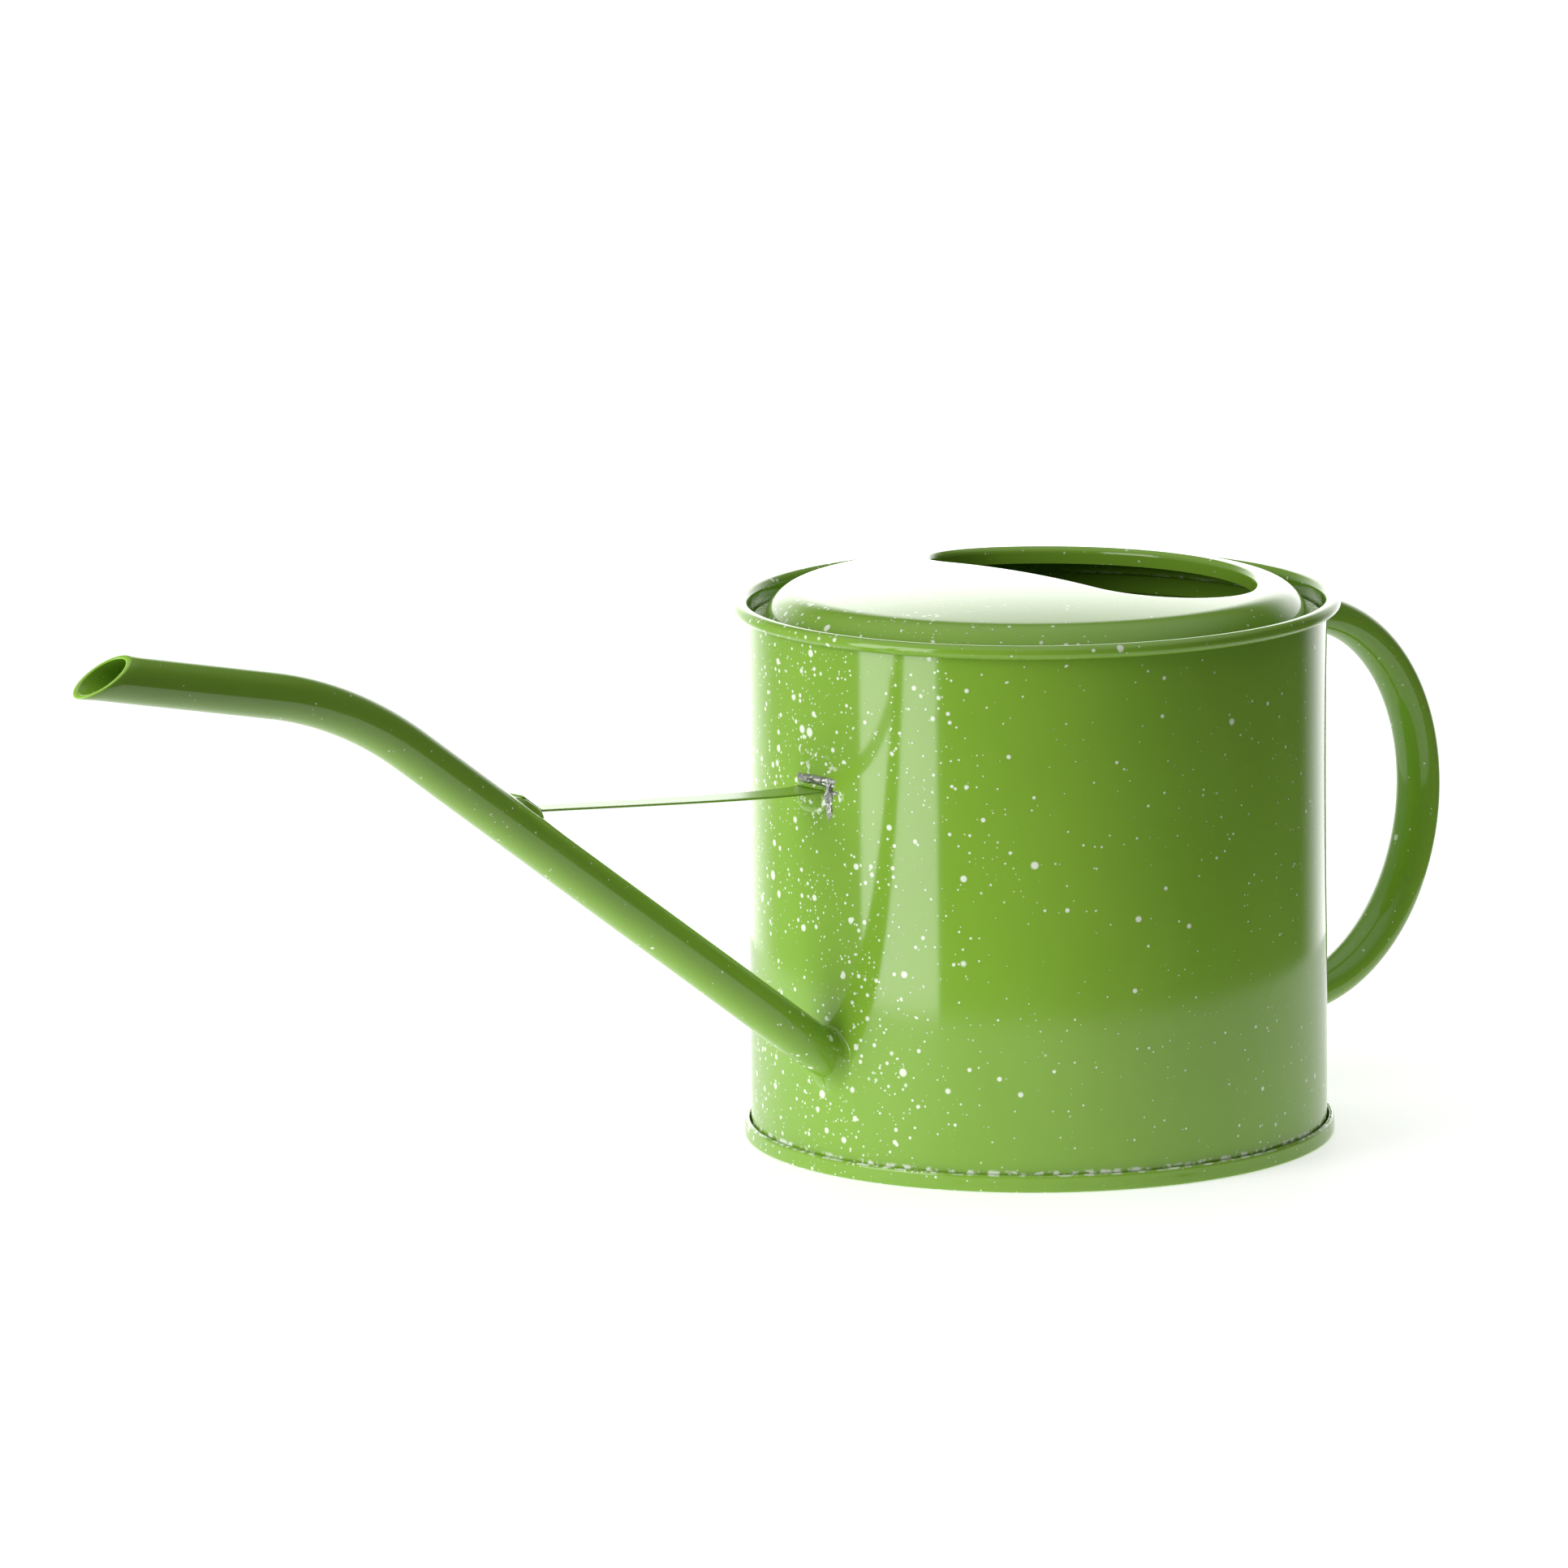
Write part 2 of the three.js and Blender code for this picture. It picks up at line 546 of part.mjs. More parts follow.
// ---- the can ------------------------------------------------------------------------------
const can = new THREE.Group();
can.add(
  toMesh("body_wall", bodyWall(), PAINT),
  toMesh("base_plate", basePlate(), PAINT),
  toMesh("top_cover", topCover(), PAINT),
  toMesh("spout_tube", spoutTube(), PAINT),
  toMesh("spout_root_solder", spoutRootSolder(), PAINT),
  toMesh("stay_strap", stayStrap(), PAINT),
  toMesh("stay_spout_solder", staySpoutSolder(), PAINT),
  toMesh("stay_wall_solder", stayWallSolder(), BARE_SOLDER),
  toMesh("handle_tube", handleTube(), PAINT),
  toMesh("handle_top_weld", handleWeld(HANDLE_TOP_Z), PAINT),
  toMesh("handle_bottom_weld", handleWeld(HANDLE_BOTTOM_Z), PAINT),
);

export default can;
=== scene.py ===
"""Indoor watering can of thin sheet steel, spattered with white over green gloss paint.

Every surface is worked out in millimetres with numpy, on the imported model's own axes: +Z up, the
spout towards -X, the handle towards +X, the origin on the table under the middle of the body.
"""

import math

import bmesh
import bpy
import numpy as np
from mathutils import Matrix, Vector


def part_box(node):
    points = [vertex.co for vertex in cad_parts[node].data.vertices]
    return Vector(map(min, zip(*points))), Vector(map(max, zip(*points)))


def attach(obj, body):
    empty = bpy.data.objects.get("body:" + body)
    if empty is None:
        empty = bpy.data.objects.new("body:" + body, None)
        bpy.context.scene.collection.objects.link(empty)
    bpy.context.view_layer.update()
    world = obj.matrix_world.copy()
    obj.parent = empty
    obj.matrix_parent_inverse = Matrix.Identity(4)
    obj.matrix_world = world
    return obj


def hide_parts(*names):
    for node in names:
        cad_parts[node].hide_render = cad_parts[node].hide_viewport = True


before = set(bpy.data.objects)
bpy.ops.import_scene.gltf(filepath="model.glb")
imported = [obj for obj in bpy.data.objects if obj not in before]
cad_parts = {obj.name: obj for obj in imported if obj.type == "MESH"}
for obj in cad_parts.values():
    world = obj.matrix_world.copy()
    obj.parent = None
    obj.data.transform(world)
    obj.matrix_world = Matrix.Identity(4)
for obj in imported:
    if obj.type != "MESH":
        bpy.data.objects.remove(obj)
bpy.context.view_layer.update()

# ---- sizes, in millimetres ---------------------------------------------------------------------
MM = 0.001
WALL_LOW, WALL_HIGH = (np.array(corner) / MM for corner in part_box("body_wall"))
HANDLE_LOW, HANDLE_HIGH = (np.array(corner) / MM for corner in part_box("handle_tube"))

SHEET = 0.5
JOINT_GAP = 0.3
RIM_BEAD = 3.1
BODY_HEIGHT = WALL_HIGH[2]
BODY_RADIUS = WALL_HIGH[1] - RIM_BEAD
WALL_FOOT = WALL_LOW[2]
SEAM_HEIGHT = 4.0
SEAM_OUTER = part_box("base_plate")[1][1] / MM

LAP_EDGE = (-3.4, -2.9)
DENT_Z = 82.8
DENT_HALF_WIDTH = 5.2
DENT_HALF_HEIGHT = 2.6
DENT_DEPTH = 0.7
RING_RADIUS = 42.0
RING_HALF_WIDTH = 3.6
RING_RISE = 1.5

GUTTER_Z = BODY_HEIGHT - 4.2
CROWN_TOP = GUTTER_Z + 10.2
CROWN_RADIUS = 430.0
SHOULDER_RADIUS = 9.0
SHOULDER_X = 52.0
SKIRT_DEPTH = 5.0
MOUTH_CENTRE_X = 22.0
MOUTH_EDGE_X = -3.5
MOUTH_RADIUS = 49.4
MOUTH_CORNER = 20.0
MOUTH_TURN = math.radians(-2)
LIP_ROLL = 1.3
LIP_DEPTH = 3.7

SPOUT_RADIUS = 5.1
SPOUT_WALL = 1.0
SPOUT_ROOT_Z = 26.1
SPOUT_ANGLE = math.radians(35.1)
SPOUT_TIP_ANGLE = math.radians(12)
SPOUT_RUN = 148.5
SPOUT_BEND_RADIUS = 104.5
SPOUT_TIP = 46.6
SPOUT_SLANT = 11.7

STAY_WALL_Z = 86.0
STAY_WALL_Y = 5.7
STAY_WALL_WIDTH = 9.4
STAY_SPOUT_WIDTH = 6.4
STAY_SPOUT_Y = 3.0
STAY_HEEL = 107.7
STAY_TOE = 114.3
STAY_HEIGHT = 6.45
STAY_SAG = 0.65

HANDLE_HALF_WIDTH = 5.7
HANDLE_HALF_DEPTH = 4.4
HANDLE_TOP_Z = HANDLE_HIGH[2] - HANDLE_HALF_DEPTH
HANDLE_BOTTOM_Z = HANDLE_LOW[2] + HANDLE_HALF_DEPTH
HANDLE_LEG = 17.2
HANDLE_REACH = HANDLE_HIGH[0] - HANDLE_HALF_DEPTH - BODY_RADIUS

ROUND = 2 * math.pi


# ---- numbers -----------------------------------------------------------------------------------
def smooth(x, low, high):
    """0 below low, 1 above high, and 3t^2 - 2t^3 between them."""
    t = np.clip((x - low) / (high - low), 0, 1)
    return t * t * (3 - 2 * t)


def ripple(angle, orders, seed):
    """Sum of cosines round the body, one for each order, with random phases and a 1/sqrt(order) fall."""
    phases = np.random.default_rng(seed).uniform(0, ROUND, len(orders))
    waves = [np.cos(k * angle + p) / math.sqrt(k) for k, p in zip(orders, phases)]
    return np.sum(waves, axis=0)


def arc(x, z, rx, rz, start, end, steps):
    """Points (x + rx cos a, z + rz sin a) for angles from start to end, in degrees."""
    a = np.radians(np.linspace(start, end, steps + 1))
    return np.stack([x + rx * np.cos(a), z + rz * np.sin(a)], axis=1)


def line(start, end, steps):
    """Evenly spaced points from start to end."""
    return np.linspace(start, end, steps + 1)


def offset(curve, distance):
    """A flat curve moved sideways: each point goes along its normal, the tangent turned left."""
    tangent = np.gradient(curve, axis=0)
    tangent /= np.linalg.norm(tangent, axis=1, keepdims=True)
    return curve + distance * np.stack([-tangent[:, 1], tangent[:, 0]], axis=1)


def revolve(profile, angles):
    """Grid of a profile (radius, height) turned about Z: (r cos a, r sin a, z)."""
    r, z = profile[:, :1], profile[:, 1:]
    return np.stack([r * np.cos(angles), r * np.sin(angles), z + 0 * angles], axis=-1)


def sheet_rows(grid, thickness):
    """Both faces of a sheet whose middle surface is the grid: each point goes half the thickness
    along the normal, the cross product of the grid's two tangents; columns close on themselves."""
    along = np.gradient(grid, axis=0)
    around = np.roll(grid, -1, axis=1) - np.roll(grid, 1, axis=1)
    normal = np.cross(around, along)
    normal /= np.linalg.norm(normal, axis=2, keepdims=True) + 1e-12
    return np.concatenate([grid + normal * thickness / 2, (grid - normal * thickness / 2)[::-1]])


def with_poles(grid):
    """Closes a tube of rows with a point at each end, the middle of its first and last row."""
    first = np.broadcast_to(grid[:1].mean(axis=1, keepdims=True), grid[:1].shape)
    last = np.broadcast_to(grid[-1:].mean(axis=1, keepdims=True), grid[-1:].shape)
    return np.concatenate([first, grid, last])


# ---- meshes ------------------------------------------------------------------------------------
def grid_faces(rows, columns, wrap_rows, first):
    """Quads between neighbouring rows and columns; columns always close on themselves."""
    i = np.arange(rows if wrap_rows else rows - 1)[:, None]
    j = np.arange(columns)[None, :]
    below, above = i * columns, (i + 1) % rows * columns
    following = (j + 1) % columns
    quads = np.stack([below + j, below + following, above + following, above + j], axis=-1)
    return first + quads.reshape(-1, 4)


def add_piece(name, grids, finish, nodes=(), sharp=40):
    """One mesh from closed grids of points in millimetres. A grid is (points, wrap_rows)."""
    points, faces, count = [], [], 0
    for grid, wrap_rows in grids:
        rows, columns = grid.shape[:2]
        points.append(grid.reshape(-1, 3))
        faces.append(grid_faces(rows, columns, wrap_rows, count))
        count += rows * columns
    mesh = bpy.data.meshes.new(name)
    mesh.from_pydata((np.concatenate(points) * MM).tolist(), [], np.concatenate(faces).tolist())
    cleaned = bmesh.new()
    cleaned.from_mesh(mesh)
    bmesh.ops.remove_doubles(cleaned, verts=cleaned.verts, dist=1e-7)
    bmesh.ops.dissolve_degenerate(cleaned, edges=cleaned.edges, dist=1e-7)
    bmesh.ops.recalc_face_normals(cleaned, faces=cleaned.faces)
    cleaned.to_mesh(mesh)
    cleaned.free()
    mesh.shade_smooth()
    mesh.set_sharp_from_angle(angle=math.radians(sharp))
    mesh.materials.append(finish)
    piece = bpy.data.objects.new(name, mesh)
    bpy.context.scene.collection.objects.link(piece)
    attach(piece, "root")
    if nodes:
        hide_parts(*nodes)
    return piece


# ---- materials ---------------------------------------------------------------------------------
def srgb(code):
    """Linear RGBA of an sRGB hex colour."""
    parts = [int(code[i : i + 2], 16) / 255 for i in (1, 3, 5)]
    return (*[c / 12.92 if c <= 0.04045 else ((c + 0.055) / 1.055) ** 2.4 for c in parts], 1)


def add_node(tree, kind, inputs=(), **settings):
    """Adds a node. Settings are its properties; inputs gives a socket a value or another's output."""
    made = tree.nodes.new(kind)
    for key, value in settings.items():
        setattr(made, key, value)
    for key, value in dict(inputs).items():
        if isinstance(value, bpy.types.NodeSocket):
            tree.links.new(value, made.inputs[key])
        else:
            made.inputs[key].default_value = value
    return made


def new_material(name):
    made = bpy.data.materials.new(name)
    made.use_nodes = True
    made.node_tree.nodes.clear()
    return made, made.node_tree


def math_node(tree, operation, a, b=0.0, c=0.0, clamp=False):
    """Output of a Math node."""
    inputs = {0: a, 1: b, 2: c}
    return add_node(tree, "ShaderNodeMath", inputs, operation=operation, use_clamp=clamp).outputs[0]


def ramp_node(tree, value, low, high, start=0.0, end=1.0):
    """Smooth step of a value between low and high, from start to end."""
    inputs = {"Value": value, "From Min": low, "From Max": high, "To Min": start, "To Max": end}
    return add_node(
        tree, "ShaderNodeMapRange", inputs, interpolation_type="SMOOTHSTEP"
    ).outputs["Result"]


def spatter(tree, place, cell, largest, share, seed):
    """Round specks: in each cell, a few millimetres across, one drop of random size.

    A drop covers the points nearer to the cell's seed than its radius; share is the part of the
    cells that hold one.
    """
    moved = add_node(
        tree, "ShaderNodeVectorMath", {0: place, 1: (seed, seed * 0.37, seed * 0.71)}, operation="ADD"
    ).outputs[0]
    cells = add_node(tree, "ShaderNodeTexVoronoi", {"Vector": moved, "Scale": 1 / (cell * MM)})
    draw = add_node(tree, "ShaderNodeSeparateColor", {0: cells.outputs["Color"]})
    size = math_node(tree, "MULTIPLY", draw.outputs[0], draw.outputs[1])
    radius = math_node(tree, "MULTIPLY_ADD", size, 0.75 * largest / cell, 0.25 * largest / cell)
    held = math_node(tree, "LESS_THAN", draw.outputs[2], share)
    reach = math_node(tree, "MULTIPLY", radius, held)
    inner = math_node(tree, "MULTIPLY", reach, 0.6)
    return ramp_node(tree, cells.outputs["Distance"], inner, reach, 1.0, 0.0), held


def spattered_gloss_paint(name, spattered, roughness):
    """Sprayed gloss paint on sheet steel, leaf green with white flecks spattered over it. With
    spattered at 0 it is the same green left plain.

    It gives the eye a wet, slightly uneven shine, soft-edged white drops from pinpoints to 2 mm,
    thicker towards the spout side, milky paint pooled where the sheets meet, and painted
    highlights: white streaks round the stay's wall end that stand in for light caught on the
    lumpy solder there.
    """
    made, tree = new_material(name)
    place = add_node(tree, "ShaderNodeTexCoord").outputs["Object"]
    spot = add_node(tree, "ShaderNodeSeparateXYZ", {0: place})
    cloud = add_node(
        tree, "ShaderNodeTexNoise", {"Vector": place, "Scale": 1 / (22 * MM), "Detail": 3.0}
    ).outputs["Fac"]
    across = math_node(tree, "MULTIPLY_ADD", spot.outputs["X"], -0.73, 0.0)
    across = math_node(tree, "MULTIPLY_ADD", spot.outputs["Y"], 0.684, across)
    spout_side = ramp_node(tree, across, -5 * MM, 42 * MM, 0.3, 1.0)
    patchy = ramp_node(tree, cloud, 0.36, 0.6, 0.45, 1.0)
    thick = math_node(tree, "MULTIPLY", spout_side, patchy)
    clear_of_spout = ramp_node(tree, spot.outputs["X"], -90 * MM, -70 * MM, 0.22, 1.0)
    thick = math_node(tree, "MULTIPLY", thick, clear_of_spout)
    thicker = math_node(tree, "MULTIPLY", thick, thick)
    layers = []
    for cell, largest, often, seed in (
        (1.2, 0.42, thick, 0.11),
        (1.8, 0.8, thicker, 0.53),
        (3.2, 1.4, math_node(tree, "MULTIPLY", thicker, 0.8), 0.97),
    ):
        fleck, held = spatter(tree, place, cell, largest, often, seed)
        layers.append(math_node(tree, "MULTIPLY", fleck, held))
    flecks = math_node(tree, "MAXIMUM", math_node(tree, "MAXIMUM", layers[0], layers[1]), layers[2])

    streak_noise = add_node(
        tree, "ShaderNodeTexNoise", {"Vector": place, "Scale": 1 / (2.2 * MM), "Detail": 2.0}
    ).outputs["Fac"]
    flat = add_node(tree, "ShaderNodeVectorMath", {0: place, 1: (1, 1, 0)}, operation="MULTIPLY")
    radius = add_node(
        tree, "ShaderNodeVectorMath", {0: flat.outputs[0]}, operation="LENGTH"
    ).outputs["Value"]
    ledge = math_node(
        tree,
        "SUBTRACT",
        ramp_node(tree, spot.outputs["Z"], 3.4 * MM, 3.9 * MM),
        ramp_node(tree, spot.outputs["Z"], 4.1 * MM, 4.9 * MM),
    )
    gutter = math_node(
        tree,
        "SUBTRACT",
        ramp_node(tree, radius, 60.2 * MM, 61.2 * MM),
        ramp_node(tree, radius, 64.3 * MM, 64.6 * MM),
    )
    gutter = math_node(
        tree, "MULTIPLY", gutter, ramp_node(tree, spot.outputs["Z"], 117.4 * MM, 118.6 * MM, 1.0, 0.0)
    )
    gutter = math_node(
        tree, "MULTIPLY", gutter, math_node(tree, "GREATER_THAN", spot.outputs["Z"], 117.0 * MM)
    )
    pooled = math_node(
        tree, "MULTIPLY", math_node(tree, "ADD", ledge, gutter), ramp_node(tree, streak_noise, 0.46, 0.62)
    )
    # Painted highlights: white streaks 5 to 9 mm from the stay's wall end stand in for light caught on
    # the lumpy solder round it.
    to_joint = add_node(
        tree,
        "ShaderNodeVectorMath",
        {0: place, 1: (-BODY_RADIUS * MM, 2 * MM, STAY_WALL_Z * MM)},
        operation="DISTANCE",
    ).outputs["Value"]
    near_joint = ramp_node(tree, to_joint, 5 * MM, 9 * MM, 1.0, 0.0)
    painted_highlight_streaks = math_node(tree, "MULTIPLY", near_joint, ramp_node(tree, streak_noise, 0.6, 0.68))
    # White of the flecks and the pooled paint, together with the painted highlight streaks.
    white_paint_and_painted_highlights = math_node(tree, "MAXIMUM", math_node(tree, "MAXIMUM", flecks, pooled), painted_highlight_streaks)
    white_paint_and_painted_highlights = math_node(tree, "MULTIPLY", white_paint_and_painted_highlights, spattered)
    green = add_node(
        tree,
        "ShaderNodeMix",
        {"Factor": cloud, "A": srgb("#7ba731"), "B": srgb("#84af3a")},
        data_type="RGBA",
    ).outputs["Result"]
    colour = add_node(
        tree,
        "ShaderNodeMix",
        {"Factor": math_node(tree, "MULTIPLY", white_paint_and_painted_highlights, 0.88), "A": green, "B": srgb("#eef5e6")},
        data_type="RGBA",
    ).outputs["Result"]
    peel = add_node(
        tree, "ShaderNodeTexNoise", {"Vector": place, "Scale": 1 / (3.5 * MM), "Detail": 1.0}
    ).outputs["Fac"]
    relief = math_node(tree, "MULTIPLY_ADD", white_paint_and_painted_highlights, 0.7, math_node(tree, "MULTIPLY", peel, 0.25))
    bump = add_node(
        tree, "ShaderNodeBump", {"Strength": 0.35, "Distance": 0.05 * MM, "Height": relief}
    ).outputs["Normal"]
    shader = add_node(
        tree,
        "ShaderNodeBsdfPrincipled",
        {
            "Base Color": colour,
            "Roughness": roughness,
            "IOR": 1.5,
            "Normal": bump,
        },
    )
    add_node(tree, "ShaderNodeOutputMaterial", {"Surface": shader.outputs[0]})
    return made


def dull_tin_solder():
    """Bare soft solder, laid by hand and left unpainted where the paint missed it.

    It gives the eye a grey, grainy metal with dark pits and a few strands of white paint.
    """
    made, tree = new_material("dull_tin_solder")
    place = add_node(tree, "ShaderNodeTexCoord").outputs["Object"]
    grain = add_node(
        tree, "ShaderNodeTexNoise", {"Vector": place, "Scale": 1 / (0.35 * MM), "Detail": 4.0}
    ).outputs["Fac"]
    strands = add_node(
        tree,
        "ShaderNodeTexNoise",
        {"Vector": place, "Scale": 1 / (1.6 * MM), "Detail": 3.0, "Distortion": 0.6},
    ).outputs["Fac"]
    metal = add_node(
        tree,
        "ShaderNodeMix",
        {"Factor": ramp_node(tree, grain, 0.3, 0.7), "A": srgb("#7f827c"), "B": srgb("#c2c5bf")},
        data_type="RGBA",
    ).outputs["Result"]
    painted = ramp_node(tree, strands, 0.63, 0.7)
    colour = add_node(
        tree, "ShaderNodeMix", {"Factor": painted, "A": metal, "B": srgb("#dfe8d4")}, data_type="RGBA"
    ).outputs["Result"]
    bump = add_node(
        tree, "ShaderNodeBump", {"Strength": 0.6, "Distance": 0.1 * MM, "Height": grain}
    ).outputs["Normal"]
    shader = add_node(
        tree,
        "ShaderNodeBsdfPrincipled",
        {
            "Base Color": colour,
            "Metallic": math_node(tree, "SUBTRACT", 1.0, painted),
            "Roughness": ramp_node(tree, grain, 0.3, 0.7, 0.55, 0.32),
            "Normal": bump,
        },
    )
    add_node(tree, "ShaderNodeOutputMaterial", {"Surface": shader.outputs[0]})
    return made


# ---- body --------------------------------------------------------------------------------------
def body_wall(paint):
    """Rolled wall: the middle line goes straight up and curls outwards in the rim bead, and both
    faces lie half a sheet from it. The outer face steps out by one sheet over the lap at +X, and
    has a shallow dent, a two-way bell curve, under the stay's wall end."""
    half = SHEET / 2
    middle_r = BODY_RADIUS - half
    reach = (WALL_HIGH[1] - BODY_RADIUS + SHEET) / 2
    centre_r = WALL_HIGH[1] - reach
    centre_z = BODY_HEIGHT - RIM_BEAD / 2
    curl = arc(centre_r, centre_z, reach - half, RIM_BEAD / 2 - half, 180, -115, 26)
    middle = np.concatenate([line((middle_r, WALL_FOOT), (middle_r, centre_z - 0.3), 46), curl])
    turn = np.linspace(0, ROUND, 384, endpoint=False)
    angles = turn - 0.6 * np.sin(turn)
    outer = revolve(offset(middle, half), angles)
    inner = revolve(offset(middle, -half), angles)
    outer, inner = (inner, outer) if inner[0, 0, 0] > outer[0, 0, 0] else (outer, inner)
    straight = 47
    face = outer[:straight]
    radius = np.hypot(face[..., 0], face[..., 1])
    height = face[..., 2]
    lap = smooth(-np.abs(angles * BODY_RADIUS - ROUND * BODY_RADIUS * (angles > math.pi)), *LAP_EDGE)
    lap = lap * smooth(height, 4.2, 4.8) * (1 - smooth(height, 117.4, 118.2))
    across = face[..., 1] - STAY_WALL_Y
    fall = (across / DENT_HALF_WIDTH) ** 4 + ((height - DENT_Z) / DENT_HALF_HEIGHT) ** 2
    dent = np.exp(-fall) * (face[..., 0] < 0)
    roll = 0.02 * ripple(angles, (3, 5, 8, 13), 3)
    face[..., :2] *= ((radius + SHEET * lap - DENT_DEPTH * dent + roll) / radius)[..., None]
    return add_piece(
        "body_wall_fine",
        [(np.concatenate([outer, inner[::-1]]), True)],
        paint,
        ["body_wall"],
    )


def base_plate(paint):
    """Base with a stiffening ring, a raised cosine, and its edge folded up round the wall's foot.
    The fold is crimped by hand: its radius and height ripple a little round the body."""
    fold = (SEAM_OUTER - BODY_RADIUS - JOINT_GAP) / 2
    fold_r, fold_z = SEAM_OUTER - fold, SEAM_HEIGHT - fold
    radii = np.concatenate([np.linspace(0, 37, 8), np.linspace(38, 46, 21), np.linspace(48, 65, 8)])
    across = np.clip((radii - RING_RADIUS) / RING_HALF_WIDTH, -1, 1)
    ring = RING_RISE * (0.5 + 0.5 * np.cos(np.pi * across))
    under = np.stack([radii, ring], axis=1)
    over = np.stack([radii, ring + SHEET], axis=1)[::-1]
    edge = np.concatenate(
        [
            arc(SEAM_OUTER - 0.6, 0.6, 0.6, 0.6, -90, 0, 6),
            line((SEAM_OUTER, 1.0), (SEAM_OUTER, fold_z - 0.3), 6),
            arc(fold_r, fold_z, fold, fold, 0, 180, 12),
            line((SEAM_OUTER - 2 * fold, fold_z - 0.4), (SEAM_OUTER - 2 * fold, SHEET + 0.3), 4),
        ]
    )
    profile = np.concatenate([under, edge, over])
    angles = np.linspace(0, ROUND, 512, endpoint=False)
    grid = revolve(profile, angles)
    crimp = 0.07 * ripple(angles, (9, 17, 31, 47, 66, 90), 11) + 0.03 * ripple(angles, (4, 7), 5)
    sag = 0.1 * ripple(angles, (12, 23, 38, 57, 81), 19)
    at_seam = smooth(grid[..., 2], 1.0, 3.2) * smooth(np.hypot(grid[..., 0], grid[..., 1]), 65.2, 65.8)
    radius = np.hypot(grid[..., 0], grid[..., 1])
    grid[..., :2] *= (1 + (crimp - 0.12) * at_seam / np.maximum(radius, 1))[..., None]
    grid[..., 2] += (sag - 0.15) * at_seam
    return add_piece(
        "base_plate_fine", [(grid, False)], paint, ["base_plate"], sharp=50
    )


# ---- top cover ---------------------------------------------------------------------------------
def dome_height(radius):
    """Height of the dome: a crown sphere inside, a small shoulder arc outside, tangent where they
    meet."""
    reach = CROWN_RADIUS - SHOULDER_RADIUS
    crown_z = CROWN_TOP - CROWN_RADIUS
    shoulder_z = crown_z + math.sqrt(reach**2 - SHOULDER_X**2)
    meet = SHOULDER_X * CROWN_RADIUS / reach
    crown = crown_z + np.sqrt(CROWN_RADIUS**2 - np.minimum(radius, meet) ** 2)
    beyond = np.clip(radius - SHOULDER_X, 0, SHOULDER_RADIUS)
    shoulder = shoulder_z + np.sqrt(SHOULDER_RADIUS**2 - beyond**2)
    return np.where(radius < meet, crown, shoulder)


def mouth_outline(angles):
    """Half-moon outline and its outward normals, along rays from a point inside it.

    The outline is every point at the corner radius from a smaller half-moon, the disc of radius
    R - c cut at the straight edge moved in by c. Each ray is halved towards it forty times.
    """
    core = MOUTH_RADIUS - MOUTH_CORNER
    cut = MOUTH_EDGE_X + MOUTH_CORNER
    tip = math.sqrt(core**2 - cut**2)
    ray = np.stack([np.cos(angles), np.sin(angles)], axis=1)
    centre = np.array([MOUTH_CENTRE_X, 0.0])

    def from_core(point):
        """Vector from the nearest point of the smaller half-moon."""
        length = np.linalg.norm(point, axis=1, keepdims=True)
        on_arc = point * np.minimum(core / length, 1)
        on_cut = np.stack([np.full(len(point), cut), np.clip(point[:, 1], -tip, tip)], axis=1)
        return point - np.where(on_arc[:, :1] < cut, on_cut, on_arc)

    low, high = np.full(len(angles), 1.0), np.full(len(angles), 2 * MOUTH_RADIUS)
    for _ in range(40):
        half = (low + high) / 2
        outside = np.linalg.norm(from_core(centre + ray * half[:, None]), axis=1) > MOUTH_CORNER
        low, high = np.where(outside, low, half), np.where(outside, half, high)
    edge = centre + ray * low[:, None]
    normal = from_core(edge)
    return edge, normal / np.linalg.norm(normal, axis=1, keepdims=True)


